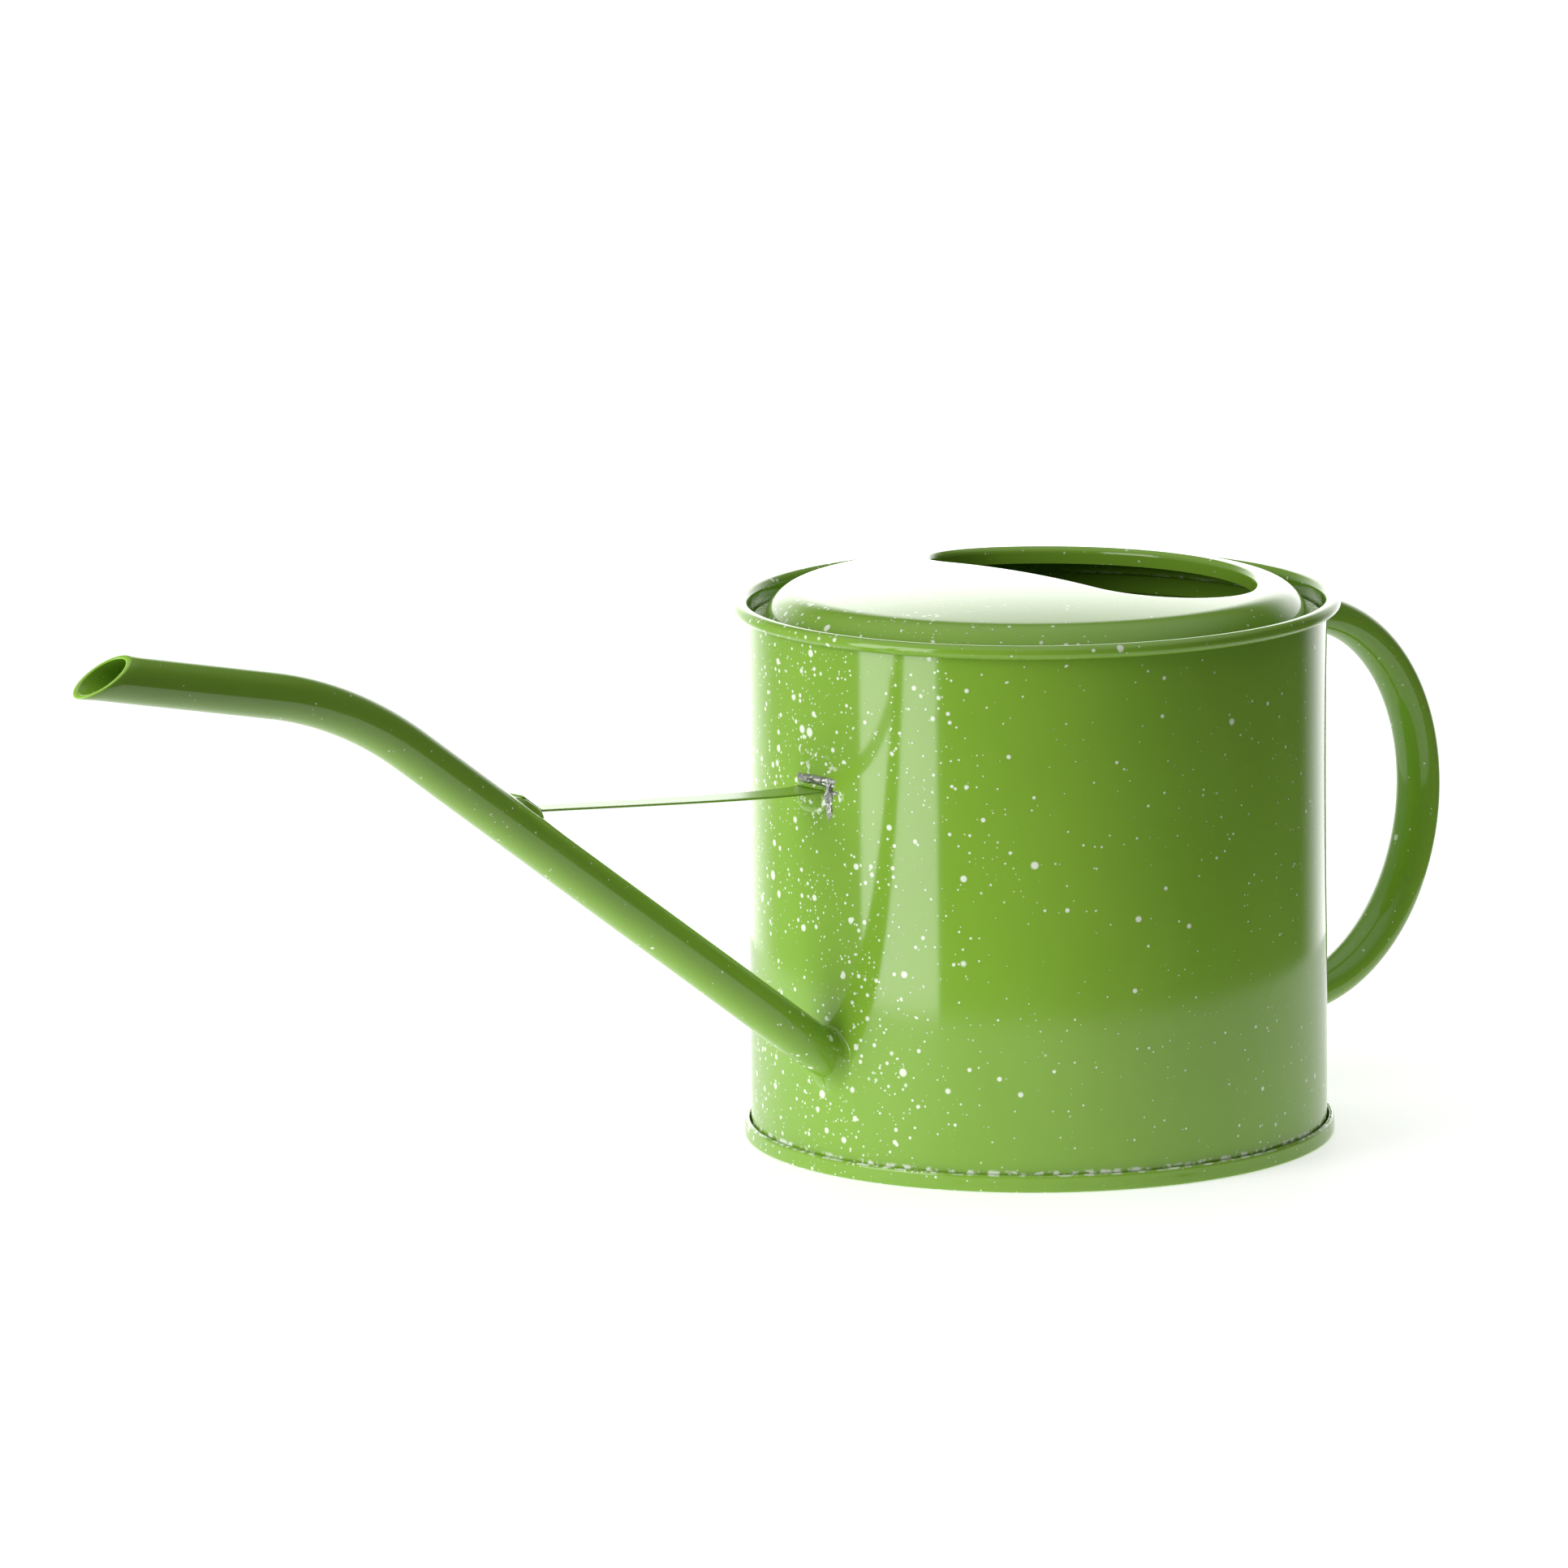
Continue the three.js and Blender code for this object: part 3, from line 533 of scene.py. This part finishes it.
def top_cover(paint):
    """Domed cover in one sheet. Rays from inside the mouth cross its rolled lip, the dome and the
    flat ring, and the skirt goes down inside the wall. Height is the dome's at each radius."""
    angles = np.linspace(0, ROUND, 448, endpoint=False)
    edge, normal = mouth_outline(angles)
    ray = np.stack([np.cos(angles), np.sin(angles)], axis=1)
    shoulder_z = dome_height(np.array(SHOULDER_X + SHOULDER_RADIUS))
    rise = math.asin((GUTTER_Z - shoulder_z) / SHOULDER_RADIUS)
    foot_r = SHOULDER_X + SHOULDER_RADIUS * math.cos(rise)
    reach = -MOUTH_CENTRE_X * ray[:, 0]
    reach += np.sqrt(foot_r**2 - (MOUTH_CENTRE_X * ray[:, 1]) ** 2)
    foot = np.stack([MOUTH_CENTRE_X + ray[:, 0] * reach, ray[:, 1] * reach], axis=1)

    rows = []
    for out, drop in lip_section():
        flat = edge + normal * out
        height = dome_height(np.linalg.norm(flat, axis=1)) - drop
        rows.append(np.column_stack([flat, height]))
    start = edge + normal * LIP_ROLL
    for share in 1 - (1 - np.linspace(0, 1, 46)[1:]) ** 2.2:
        flat = start + (foot - start) * share
        rows.append(np.column_stack([flat, dome_height(np.linalg.norm(flat, axis=1))]))
    outward = foot / foot_r
    skirt_r = BODY_RADIUS - SHEET - JOINT_GAP - SHEET / 2
    ring = np.concatenate(
        [
            arc(foot_r + 0.55, GUTTER_Z + 0.3, 0.5, 0.5, 200, 270, 4),
            line((foot_r + 1.0, GUTTER_Z - 0.2), (skirt_r - 0.6, GUTTER_Z - 0.2), 4),
            arc(skirt_r - 0.4, GUTTER_Z - 0.6, 0.4, 0.4, 80, 0, 4),
            line((skirt_r, GUTTER_Z - 1.2), (skirt_r, GUTTER_Z - SKIRT_DEPTH), 4),
        ]
    )
    for radius, height in ring:
        rows.append(np.column_stack([outward * radius, np.full(len(outward), height)]))
    middle = np.array(rows)
    middle[..., 2] -= SHEET / 2
    cosine, sine = math.cos(MOUTH_TURN), math.sin(MOUTH_TURN)
    x, y = middle[..., 0].copy(), middle[..., 1].copy()
    middle[..., 0], middle[..., 1] = x * cosine - y * sine, x * sine + y * cosine
    return add_piece(
        "top_cover_fine",
        [(sheet_rows(middle, SHEET), True)],
        paint,
        ["top_cover"],
    )


def lip_section():
    """Distance out from the mouth's edge and drop below the dome, from the lip's lower edge up
    round its roll."""
    down = line((0, LIP_DEPTH), (0, LIP_ROLL + 0.2), 4)
    turn = np.linspace(0, 1.5, 9)
    over = LIP_ROLL * (1 - np.stack([np.cos(turn), np.sin(turn)], axis=1))
    return np.concatenate([down, over])


# ---- spout -------------------------------------------------------------------------------------
def spout_line(along):
    """Middle of the spout and its rise angle, a distance along from the wall: a straight run, an arc
    and a straight tip."""
    turned = (along - SPOUT_RUN) / SPOUT_BEND_RADIUS
    angle = np.clip(SPOUT_ANGLE - turned, SPOUT_TIP_ANGLE, SPOUT_ANGLE)
    root = np.array([-BODY_RADIUS, 0, SPOUT_ROOT_Z])
    bend_end = SPOUT_RUN + SPOUT_BEND_RADIUS * (SPOUT_ANGLE - SPOUT_TIP_ANGLE)
    first = np.minimum(along, SPOUT_RUN)
    last = np.maximum(along - bend_end, 0)
    start_above = above(np.array(SPOUT_ANGLE))
    place = root + heading(np.array(SPOUT_ANGLE)) * first[..., None]
    place = place + SPOUT_BEND_RADIUS * (above(angle) - start_above)
    return place + heading(np.array(SPOUT_TIP_ANGLE)) * last[..., None], angle


def heading(angle):
    """Unit vector in the XZ plane that rises towards -X at an angle."""
    return np.stack([-np.cos(angle), 0 * angle, np.sin(angle)], axis=-1)


def above(angle):
    """Unit vector square to a heading, on its upper side."""
    return np.stack([np.sin(angle), 0 * angle, np.cos(angle)], axis=-1)


def spout_surface(along, around, radius):
    """Point on the tube: the middle line plus radius times (cos above + sin Y)."""
    place, angle = spout_line(along)
    side = np.stack([0 * angle, 1 + 0 * angle, 0 * angle], axis=-1)
    across = above(angle) * np.cos(around)[..., None] + side * np.sin(around)[..., None]
    return place + np.asarray(radius)[..., None] * across


def root_distance(around, radius):
    """Distance along the spout at which a line on its surface meets the wall's outer face."""
    y = radius * np.sin(around)
    wanted = -np.sqrt(BODY_RADIUS**2 - y**2)
    level = -BODY_RADIUS + radius * np.cos(around) * math.sin(SPOUT_ANGLE)
    return (level - wanted) / math.cos(SPOUT_ANGLE)


def spout_tube(paint):
    """Bent tube with a rounded edge at its mouth. Lines on the tube slide along it, by root_distance
    at the wall and by the slant at the mouth, where the lower side leads the upper one."""
    around = np.linspace(0, ROUND, 96, endpoint=False)
    bend_end = SPOUT_RUN + SPOUT_BEND_RADIUS * (SPOUT_ANGLE - SPOUT_TIP_ANGLE)
    end = bend_end + SPOUT_TIP
    middle = np.linspace(30, end - 24, 70)
    stations = np.concatenate([np.linspace(0, 24, 7), middle, np.linspace(end - 20, end, 8)])
    edge = SPOUT_WALL / 2
    turn = np.linspace(0, math.pi, 9)
    along = np.concatenate([stations, end + edge * np.sin(turn), stations[::-1]])
    outer = np.full(len(stations), SPOUT_RADIUS)
    rounded = SPOUT_RADIUS - edge + edge * np.cos(turn)
    radius = np.concatenate([outer, rounded, outer - SPOUT_WALL])[:, None] + 0 * around
    station = along[:, None] + 0 * around
    at_root = np.clip(1 - station / 24, 0, 1)
    at_mouth = smooth(station, end - 22, end)
    slide = at_root * root_distance(around + 0 * station, radius)
    slide -= at_mouth * np.cos(around) * radius / SPOUT_RADIUS * SPOUT_SLANT / 2
    grid = spout_surface(station + slide, around + 0 * station, radius)
    return add_piece(
        "spout_tube_fine", [(grid, True)], paint, ["spout_tube"], sharp=70
    )


def collar(start, along, outward, length, width):
    """Concave bead round a tube's end on the wall. Its section is a quadratic curve from a point on
    the tube, length away, to a point on the wall, width away, bent towards the corner between them;
    the section closes behind, inside the metal."""
    normal = start * [1, 1, 0] / BODY_RADIUS
    spread = outward - normal * np.sum(outward * normal, axis=1, keepdims=True)
    spread /= np.linalg.norm(spread, axis=1, keepdims=True)
    on_tube = start + along * length[:, None] - outward * 0.04
    on_wall = start + spread * width[:, None]
    on_wall[:, :2] *= ((BODY_RADIUS - 0.03) / np.hypot(on_wall[:, 0], on_wall[:, 1]))[:, None]
    corner = start + (on_tube - start) * 0.12 + (on_wall - start) * 0.12
    t = np.linspace(0, 1, 18)[:, None, None]
    face = (1 - t) ** 2 * on_tube + 2 * t * (1 - t) * corner + t**2 * on_wall
    inward = start - normal * 0.3 - outward * 0.4
    hidden = np.stack([on_wall - normal * 0.3, inward, on_tube - outward * 0.4])
    return np.concatenate([face, hidden])


def spout_root_solder(paint):
    """Smooth fillet where the spout leaves the wall, a little fuller underneath."""
    around = np.linspace(0, ROUND, 96, endpoint=False)
    start = spout_surface(root_distance(around, SPOUT_RADIUS), around, np.full(96, SPOUT_RADIUS))
    angle = np.full(96, SPOUT_ANGLE)
    outward = above(angle) * np.cos(around)[:, None] + np.array([0, 1, 0]) * np.sin(around)[:, None]
    length = 3.6 - 0.8 * np.cos(around) + 0.15 * ripple(around, (2, 3, 5), 23)
    width = 1.7 - 0.3 * np.cos(around) + 0.12 * ripple(around, (2, 3, 4, 7), 29)
    grid = collar(start, heading(angle), outward, length, width)
    return add_piece(
        "spout_root_solder_fine",
        [(grid, True)],
        paint,
        ["spout_root_solder"],
        sharp=60,
    )


# ---- stay --------------------------------------------------------------------------------------
def strip_section(half_width, half_thickness, flat_steps=8, edge_steps=6):
    """Flat strip with round edges: two straight faces joined by half circles, as (across, up)."""
    turn = np.linspace(-math.pi / 2, math.pi / 2, edge_steps + 1)
    side = half_width - half_thickness
    right = np.stack([side + half_thickness * np.cos(turn), half_thickness * np.sin(turn)], axis=1)
    top = line((side, half_thickness), (-side, half_thickness), flat_steps)[1:-1]
    return np.concatenate([right, top, -right, -top])


def stay_strap(paint):
    """Flat strip from wall to spout. Its middle line is straight, then turns along the spout in a
    small arc; its width and sideways place run evenly from the wall's to the spout's."""
    angle = np.array(SPOUT_ANGLE)
    root = np.array([-BODY_RADIUS, 0, SPOUT_ROOT_Z])
    heel = root + heading(angle) * STAY_HEEL + above(angle) * STAY_HEIGHT
    toe = root + heading(angle) * STAY_TOE + above(angle) * STAY_HEIGHT
    wall = np.array([-BODY_RADIUS + 0.6, 0, STAY_WALL_Z])
    into, out = (heel - wall) / np.linalg.norm(heel - wall), (toe - heel) / np.linalg.norm(toe - heel)
    bend = 0.6
    t = np.linspace(0, 1, 9)[:, None]
    before, after = heel - into * bend, heel + out * bend
    corner = (1 - t) ** 2 * before + 2 * t * (1 - t) * heel + t**2 * after
    middle = np.concatenate([line(wall, before, 40)[:-1], corner, line(after, toe, 5)[1:]])
    tangent = np.gradient(middle, axis=0)
    tangent /= np.linalg.norm(tangent, axis=1, keepdims=True)
    up = np.stack([-tangent[:, 2], 0 * tangent[:, 0], tangent[:, 0]], axis=1)
    up *= np.sign(up[:, 2:])
    share = np.clip((middle[:, 0] - wall[0]) / (heel[0] - wall[0]), 0, 1)
    middle[:, 1] = STAY_SPOUT_Y + (STAY_WALL_Y - STAY_SPOUT_Y) * (1 - share)
    middle[:, 2] -= STAY_SAG * np.sin(math.pi * share**0.53)
    half = (STAY_WALL_WIDTH + (STAY_SPOUT_WIDTH - STAY_WALL_WIDTH) * share) / 2
    section = strip_section(STAY_SPOUT_WIDTH / 2, SHEET / 2)
    lateral = section[:, 0] / (STAY_SPOUT_WIDTH / 2) * half[:, None]
    grid = middle[:, None, :] + up[:, None, :] * section[:, 1][None, :, None]
    grid[..., 1] += lateral
    first = grid[0].copy()
    first[:, 0] = -np.sqrt((BODY_RADIUS - 0.2) ** 2 - first[:, 1] ** 2)
    grid[0] = first
    return add_piece(
        "stay_strap_fine", [(with_poles(grid), False)], paint, ["stay_strap"], sharp=45
    )


def lump(centre, half, height, power, seed, rough=0.35, edge=-0.15):
    """Hand-laid drop in flat coordinates (p, q, h). Rings of a superellipse shrink to its middle;
    the height is that of a rounded mound, height (1 - s^3), with random lumps; one point closes it
    below."""
    rings = np.linspace(0, 1, 15)[:, None]
    turn = np.linspace(0, ROUND, 72, endpoint=False)
    reach = (np.abs(np.cos(turn)) ** power + np.abs(np.sin(turn)) ** power) ** (-1 / power)
    reach = reach * (1 + 0.16 * rough * ripple(turn, (3, 5, 8, 12), seed))
    p = centre[0] + half[0] * rings * reach * np.cos(turn)
    q = centre[1] + half[1] * rings * reach * np.sin(turn)
    mound = (1 - rings**3) ** 0.8
    waves = np.random.default_rng(seed).normal(size=(6, 3))
    bumps = sum(np.cos(2.2 * (w[0] * p + w[1] * q) + 3 * w[2]) for w in waves) / 6
    h = edge + (height - edge) * mound * (1 + rough * bumps)
    floor = np.full((1, 72), 1.0)
    p = np.concatenate([p, centre[0] * floor])
    q = np.concatenate([q, centre[1] * floor])
    h = np.concatenate([h, (edge - 0.25) * floor])
    return p, q, h


def on_wall(p, q, h):
    """Flat coordinates rolled onto the wall's spout side: p across, q up, h out."""
    radius = BODY_RADIUS + h
    return np.stack([-radius * np.cos(p / BODY_RADIUS), radius * np.sin(p / BODY_RADIUS), q], axis=-1)


def on_spout(p, q, h):
    """Flat coordinates laid on the spout's upper side: p across, q along, h up from the tube."""
    inside = np.clip(p / SPOUT_RADIUS, -0.97, 0.97)
    level = SPOUT_RADIUS * np.sqrt(1 - inside**2) + h
    angle = np.full(np.shape(p), SPOUT_ANGLE)
    root = np.array([-BODY_RADIUS, 0, SPOUT_ROOT_Z])
    place = root + heading(angle) * q[..., None] + above(angle) * level[..., None]
    place[..., 1] = p
    return place


def stay_wall_solder(solder):
    """Bare solder round the stay's wall end: a bar above it, a run down beside it with a deep pit,
    and a nub."""
    bar = lump((3.7, 88.2), (6.7, 1.15), 0.8, 4, 41, rough=0.5)
    run = lump((-0.8, 84.7), (1.05, 4.7), 0.95, 3, 43, rough=0.6)
    nub = lump((-2.4, 86.0), (1.1, 0.55), 0.4, 2, 47)
    p, q, h = run
    pit = np.exp(-(((p + 1.2) / 0.55) ** 2) - ((q - 84.2) / 1.3) ** 2)
    run = (p, q, h - 0.75 * pit * (h > -0.1))
    grids = [(on_wall(*shape), False) for shape in (bar, run, nub)]
    return add_piece(
        "stay_wall_solder_fine", grids, solder, ["stay_wall_solder"], sharp=60
    )


def stay_fillets(paint):
    """Painted solder in the corners above and below the stay's wall end."""
    upper = lump((5.6, 86.8), (4.9, 0.75), 0.8, 4, 53, rough=0.15)
    lower = lump((5.5, 83.6), (5.3, 2.9), 0.5, 2.6, 59, rough=0.12)
    grids = [(on_wall(*shape), False) for shape in (upper, lower)]
    return add_piece("stay_wall_fillets", grids, paint, sharp=60)


def stay_spout_solder(paint):
    """Bed of solder filling the space between the round spout and the flat foot. Inside a rounded
    outline it rises to the foot's underside; near the outline it falls to the tube by an S-curve."""
    middle = (STAY_HEEL + STAY_TOE) / 2
    sunk = -0.3
    p, q, h = lump((1.3, middle), (3.55, 5.2), 1.0, 3, 61, rough=0.04, edge=sunk)
    share = np.clip(1.15 * (h - sunk) / (1 - sunk), 0, 1)
    share = share**2 * (3 - 2 * share)
    tube = SPOUT_RADIUS * np.sqrt(1 - np.clip(p / SPOUT_RADIUS, -0.97, 0.97) ** 2)
    underside = STAY_HEIGHT - SHEET / 2 + 0.05
    filled = sunk + share * (underside - tube - sunk)
    h = np.where(h < sunk, h, filled)
    return add_piece(
        "stay_spout_solder_fine",
        [(on_spout(p, q, h), False)],
        paint,
        ["stay_spout_solder"],
        sharp=60,
    )


# ---- handle ------------------------------------------------------------------------------------
def handle_tube(paint):
    """Loop of oval tube: a straight leg, half an ellipse and a second leg. The section is an ellipse,
    wide along Y; each leg starts where its lines meet the wall."""
    leg_end = BODY_RADIUS + HANDLE_LEG
    middle_z, rise = (HANDLE_TOP_Z + HANDLE_BOTTOM_Z) / 2, (HANDLE_TOP_Z - HANDLE_BOTTOM_Z) / 2
    loop = arc(leg_end, middle_z, HANDLE_REACH - HANDLE_LEG, rise, 90, -90, 72)
    upper = line((BODY_RADIUS, HANDLE_TOP_Z), (leg_end, HANDLE_TOP_Z), 10)[:-1]
    lower = line((leg_end, HANDLE_BOTTOM_Z), (BODY_RADIUS, HANDLE_BOTTOM_Z), 10)[1:]
    path = np.concatenate([upper, loop, lower])
    tangent = np.gradient(path, axis=0)
    tangent /= np.linalg.norm(tangent, axis=1, keepdims=True)
    outward = np.stack([-tangent[:, 1], tangent[:, 0]], axis=1)
    around = np.linspace(0, ROUND, 72, endpoint=False)
    depth, side = HANDLE_HALF_DEPTH * np.cos(around), HANDLE_HALF_WIDTH * np.sin(around)
    grid = np.empty((len(path), len(around), 3))
    grid[..., 0] = path[:, :1] + outward[:, :1] * depth
    grid[..., 1] = side
    grid[..., 2] = path[:, 1:] + outward[:, 1:] * depth
    short = np.sqrt(BODY_RADIUS**2 - side**2) - BODY_RADIUS
    on_leg = np.clip((leg_end - grid[..., 0]) / HANDLE_LEG, 0, 1) * (np.abs(outward[:, :1]) < 1e-6)
    grid[..., 0] += on_leg * short
    return add_piece(
        "handle_tube_fine", [(with_poles(grid), False)], paint, ["handle_tube"], sharp=70
    )


def handle_weld(paint, name, height, seed):
    """Bead round one leg where it meets the wall."""
    around = np.linspace(0, ROUND, 72, endpoint=False)
    depth, side = HANDLE_HALF_DEPTH * np.cos(around), HANDLE_HALF_WIDTH * np.sin(around)
    start = np.stack([np.sqrt(BODY_RADIUS**2 - side**2), side, height + depth], axis=1)
    outward = np.stack([0 * around, side / HANDLE_HALF_WIDTH**2, depth / HANDLE_HALF_DEPTH**2], axis=1)
    outward /= np.linalg.norm(outward, axis=1, keepdims=True)
    along = np.broadcast_to(np.array([1.0, 0, 0]), start.shape)
    length = 2.9 + 0.2 * ripple(around, (2, 3, 5, 8), seed)
    width = 2.5 + 0.2 * ripple(around, (2, 4, 7), seed + 1)
    grid = collar(start, along, outward, length, width)
    return add_piece(name + "_fine", [(grid, True)], paint, [name], sharp=60)


# ---- studio ------------------------------------------------------------------------------------
VIEW_TURN = math.radians(43.12)
VIEW_RISE = math.radians(10.49)
VIEW_ROLL = math.radians(-0.59)
VIEW_DISTANCE = 2431.0
VIEW_RIGHT_OF_CENTRE = 57.65
VIEW_BELOW_CENTRE = 77.78
LENS = 247.14

SOFT_BOX_TURN = 55.6
SOFT_BOX_DISTANCE = 600
SOFT_BOX_Z = 200
SOFT_BOX_WIDTH = 355
SOFT_BOX_TALL = 600
SOFT_BOX_WATTS = 3.3
LEFT_CARD_TURN = math.radians(100)
UPPER_CARD_RISE = 0.27
SEEN_WHITE = 1.05
TABLE_RADIUS = 0.25


def place_camera():
    """Long lens from in front and a little above; the can sits right of and below the middle."""
    back = Vector(
        (
            -math.sin(VIEW_TURN) * math.cos(VIEW_RISE),
            -math.cos(VIEW_TURN) * math.cos(VIEW_RISE),
            math.sin(VIEW_RISE),
        )
    )
    level = Vector((math.cos(VIEW_TURN), -math.sin(VIEW_TURN), 0))
    upright = back.cross(level)
    right = level * math.cos(VIEW_ROLL) + upright * math.sin(VIEW_ROLL)
    up = upright * math.cos(VIEW_ROLL) - level * math.sin(VIEW_ROLL)
    place = back * VIEW_DISTANCE - right * VIEW_RIGHT_OF_CENTRE + up * VIEW_BELOW_CENTRE
    data = bpy.data.cameras.new("camera")
    data.sensor_width = 36
    data.lens = LENS
    data.clip_start, data.clip_end = 0.1, 20
    camera = bpy.data.objects.new("camera", data)
    axes = Matrix((right, up, back)).transposed().to_4x4()
    camera.matrix_world = Matrix.Translation(place * MM) @ axes
    bpy.context.scene.collection.objects.link(camera)
    bpy.context.scene.camera = camera


def studio_direction(turn_left):
    """Level direction from the can, turned left from the camera's, seen from the camera."""
    angle = VIEW_TURN + turn_left
    return Vector((-math.sin(angle), -math.cos(angle), 0))


def area_light(name, turn_left, distance, height, width, tall, watts):
    """Soft box that faces the can."""
    data = bpy.data.lights.new(name, "AREA")
    data.shape = "RECTANGLE"
    data.size, data.size_y = width * MM, tall * MM
    data.energy = watts
    light = bpy.data.objects.new(name, data)
    away = studio_direction(math.radians(turn_left))
    light.location = (away * distance + Vector((0, 0, height))) * MM
    light.rotation_euler = away.to_track_quat("Z", "Y").to_euler()
    bpy.context.scene.collection.objects.link(light)


def light_studio():
    """White behind and to the left, dim in front and to the right, as in a corner of white card."""
    area_light(
        "soft_box",
        SOFT_BOX_TURN,
        SOFT_BOX_DISTANCE,
        SOFT_BOX_Z,
        SOFT_BOX_WIDTH,
        SOFT_BOX_TALL,
        SOFT_BOX_WATTS,
    )
    world = bpy.data.worlds.new("studio")
    bpy.context.scene.world = world
    world.use_nodes = True
    tree = world.node_tree
    tree.nodes.clear()
    look = add_node(tree, "ShaderNodeTexCoord").outputs["Generated"]
    behind = add_node(
        tree, "ShaderNodeVectorMath", {0: look, 1: -studio_direction(0.0)}, operation="DOT_PRODUCT"
    ).outputs["Value"]
    left = add_node(
        tree,
        "ShaderNodeVectorMath",
        {0: look, 1: studio_direction(LEFT_CARD_TURN)},
        operation="DOT_PRODUCT",
    ).outputs["Value"]
    overhead = add_node(tree, "ShaderNodeSeparateXYZ", {0: look}).outputs["Z"]
    above_behind = add_node(
        tree,
        "ShaderNodeVectorMath",
        {0: look, 1: (-studio_direction(0.0) + Vector((0, 0, UPPER_CARD_RISE))).normalized()},
        operation="DOT_PRODUCT",
    ).outputs["Value"]
    back_glow = math_node(
        tree,
        "MULTIPLY",
        ramp_node(tree, behind, 0.58, 1.0, 0.0, 2.3),
        ramp_node(tree, overhead, 0.25, 0.55, 1.0, 0.0),
    )
    glow = math_node(tree, "ADD", back_glow, ramp_node(tree, left, 0.4, 0.9, 0.08, 0.42))
    glow = math_node(tree, "ADD", glow, ramp_node(tree, above_behind, 0.94, 0.99, 0.0, 0.7))
    glow = math_node(tree, "ADD", glow, ramp_node(tree, overhead, 0.5, 0.95, 0.0, 0.8))
    straight = add_node(tree, "ShaderNodeLightPath").outputs["Is Camera Ray"]
    strength = add_node(
        tree, "ShaderNodeMix", {0: straight, 2: glow, 3: SEEN_WHITE}, data_type="FLOAT"
    ).outputs[0]
    back_card = add_node(
        tree, "ShaderNodeBackground", {"Color": srgb("#ffffff"), "Strength": strength}
    )
    add_node(tree, "ShaderNodeOutputWorld", {"Surface": back_card.outputs[0]})
    bpy.context.scene.view_settings.view_transform = "Standard"


def lay_floor():
    """Round white table top."""
    turn = np.linspace(0, ROUND, 128, endpoint=False)
    edge = np.stack(
        [TABLE_RADIUS * np.cos(turn), TABLE_RADIUS * np.sin(turn), 0 * turn - 0.0001], axis=1
    )
    mesh = bpy.data.meshes.new("table")
    mesh.from_pydata(edge.tolist(), [], [list(range(128))])
    made, tree = new_material("white_laminate")
    shader = add_node(
        tree,
        "ShaderNodeBsdfPrincipled",
        {
            "Base Color": srgb("#f2f2f2"),
            "Roughness": 0.6,
            "Emission Color": srgb("#ffffff"),
            "Emission Strength": 0.5,
        },
    )
    add_node(tree, "ShaderNodeOutputMaterial", {"Surface": shader.outputs[0]})
    mesh.materials.append(made)
    table = bpy.data.objects.new("table", mesh)
    bpy.context.scene.collection.objects.link(table)


# ---- the can -----------------------------------------------------------------------------------
paint = spattered_gloss_paint("spattered_gloss_paint", 1.0, 0.1)
plain_paint = spattered_gloss_paint("plain_gloss_paint", 0.0, 0.32)
solder = dull_tin_solder()
body_wall(paint)
base_plate(paint)
top_cover(paint)
spout_tube(paint)
spout_root_solder(paint)
stay_strap(plain_paint)
stay_fillets(paint)
stay_spout_solder(paint)
stay_wall_solder(solder)
handle_tube(paint)
handle_weld(paint, "handle_top_weld", HANDLE_TOP_Z, 71)
handle_weld(paint, "handle_bottom_weld", HANDLE_BOTTOM_Z, 83)
place_camera()
light_studio()
lay_floor()
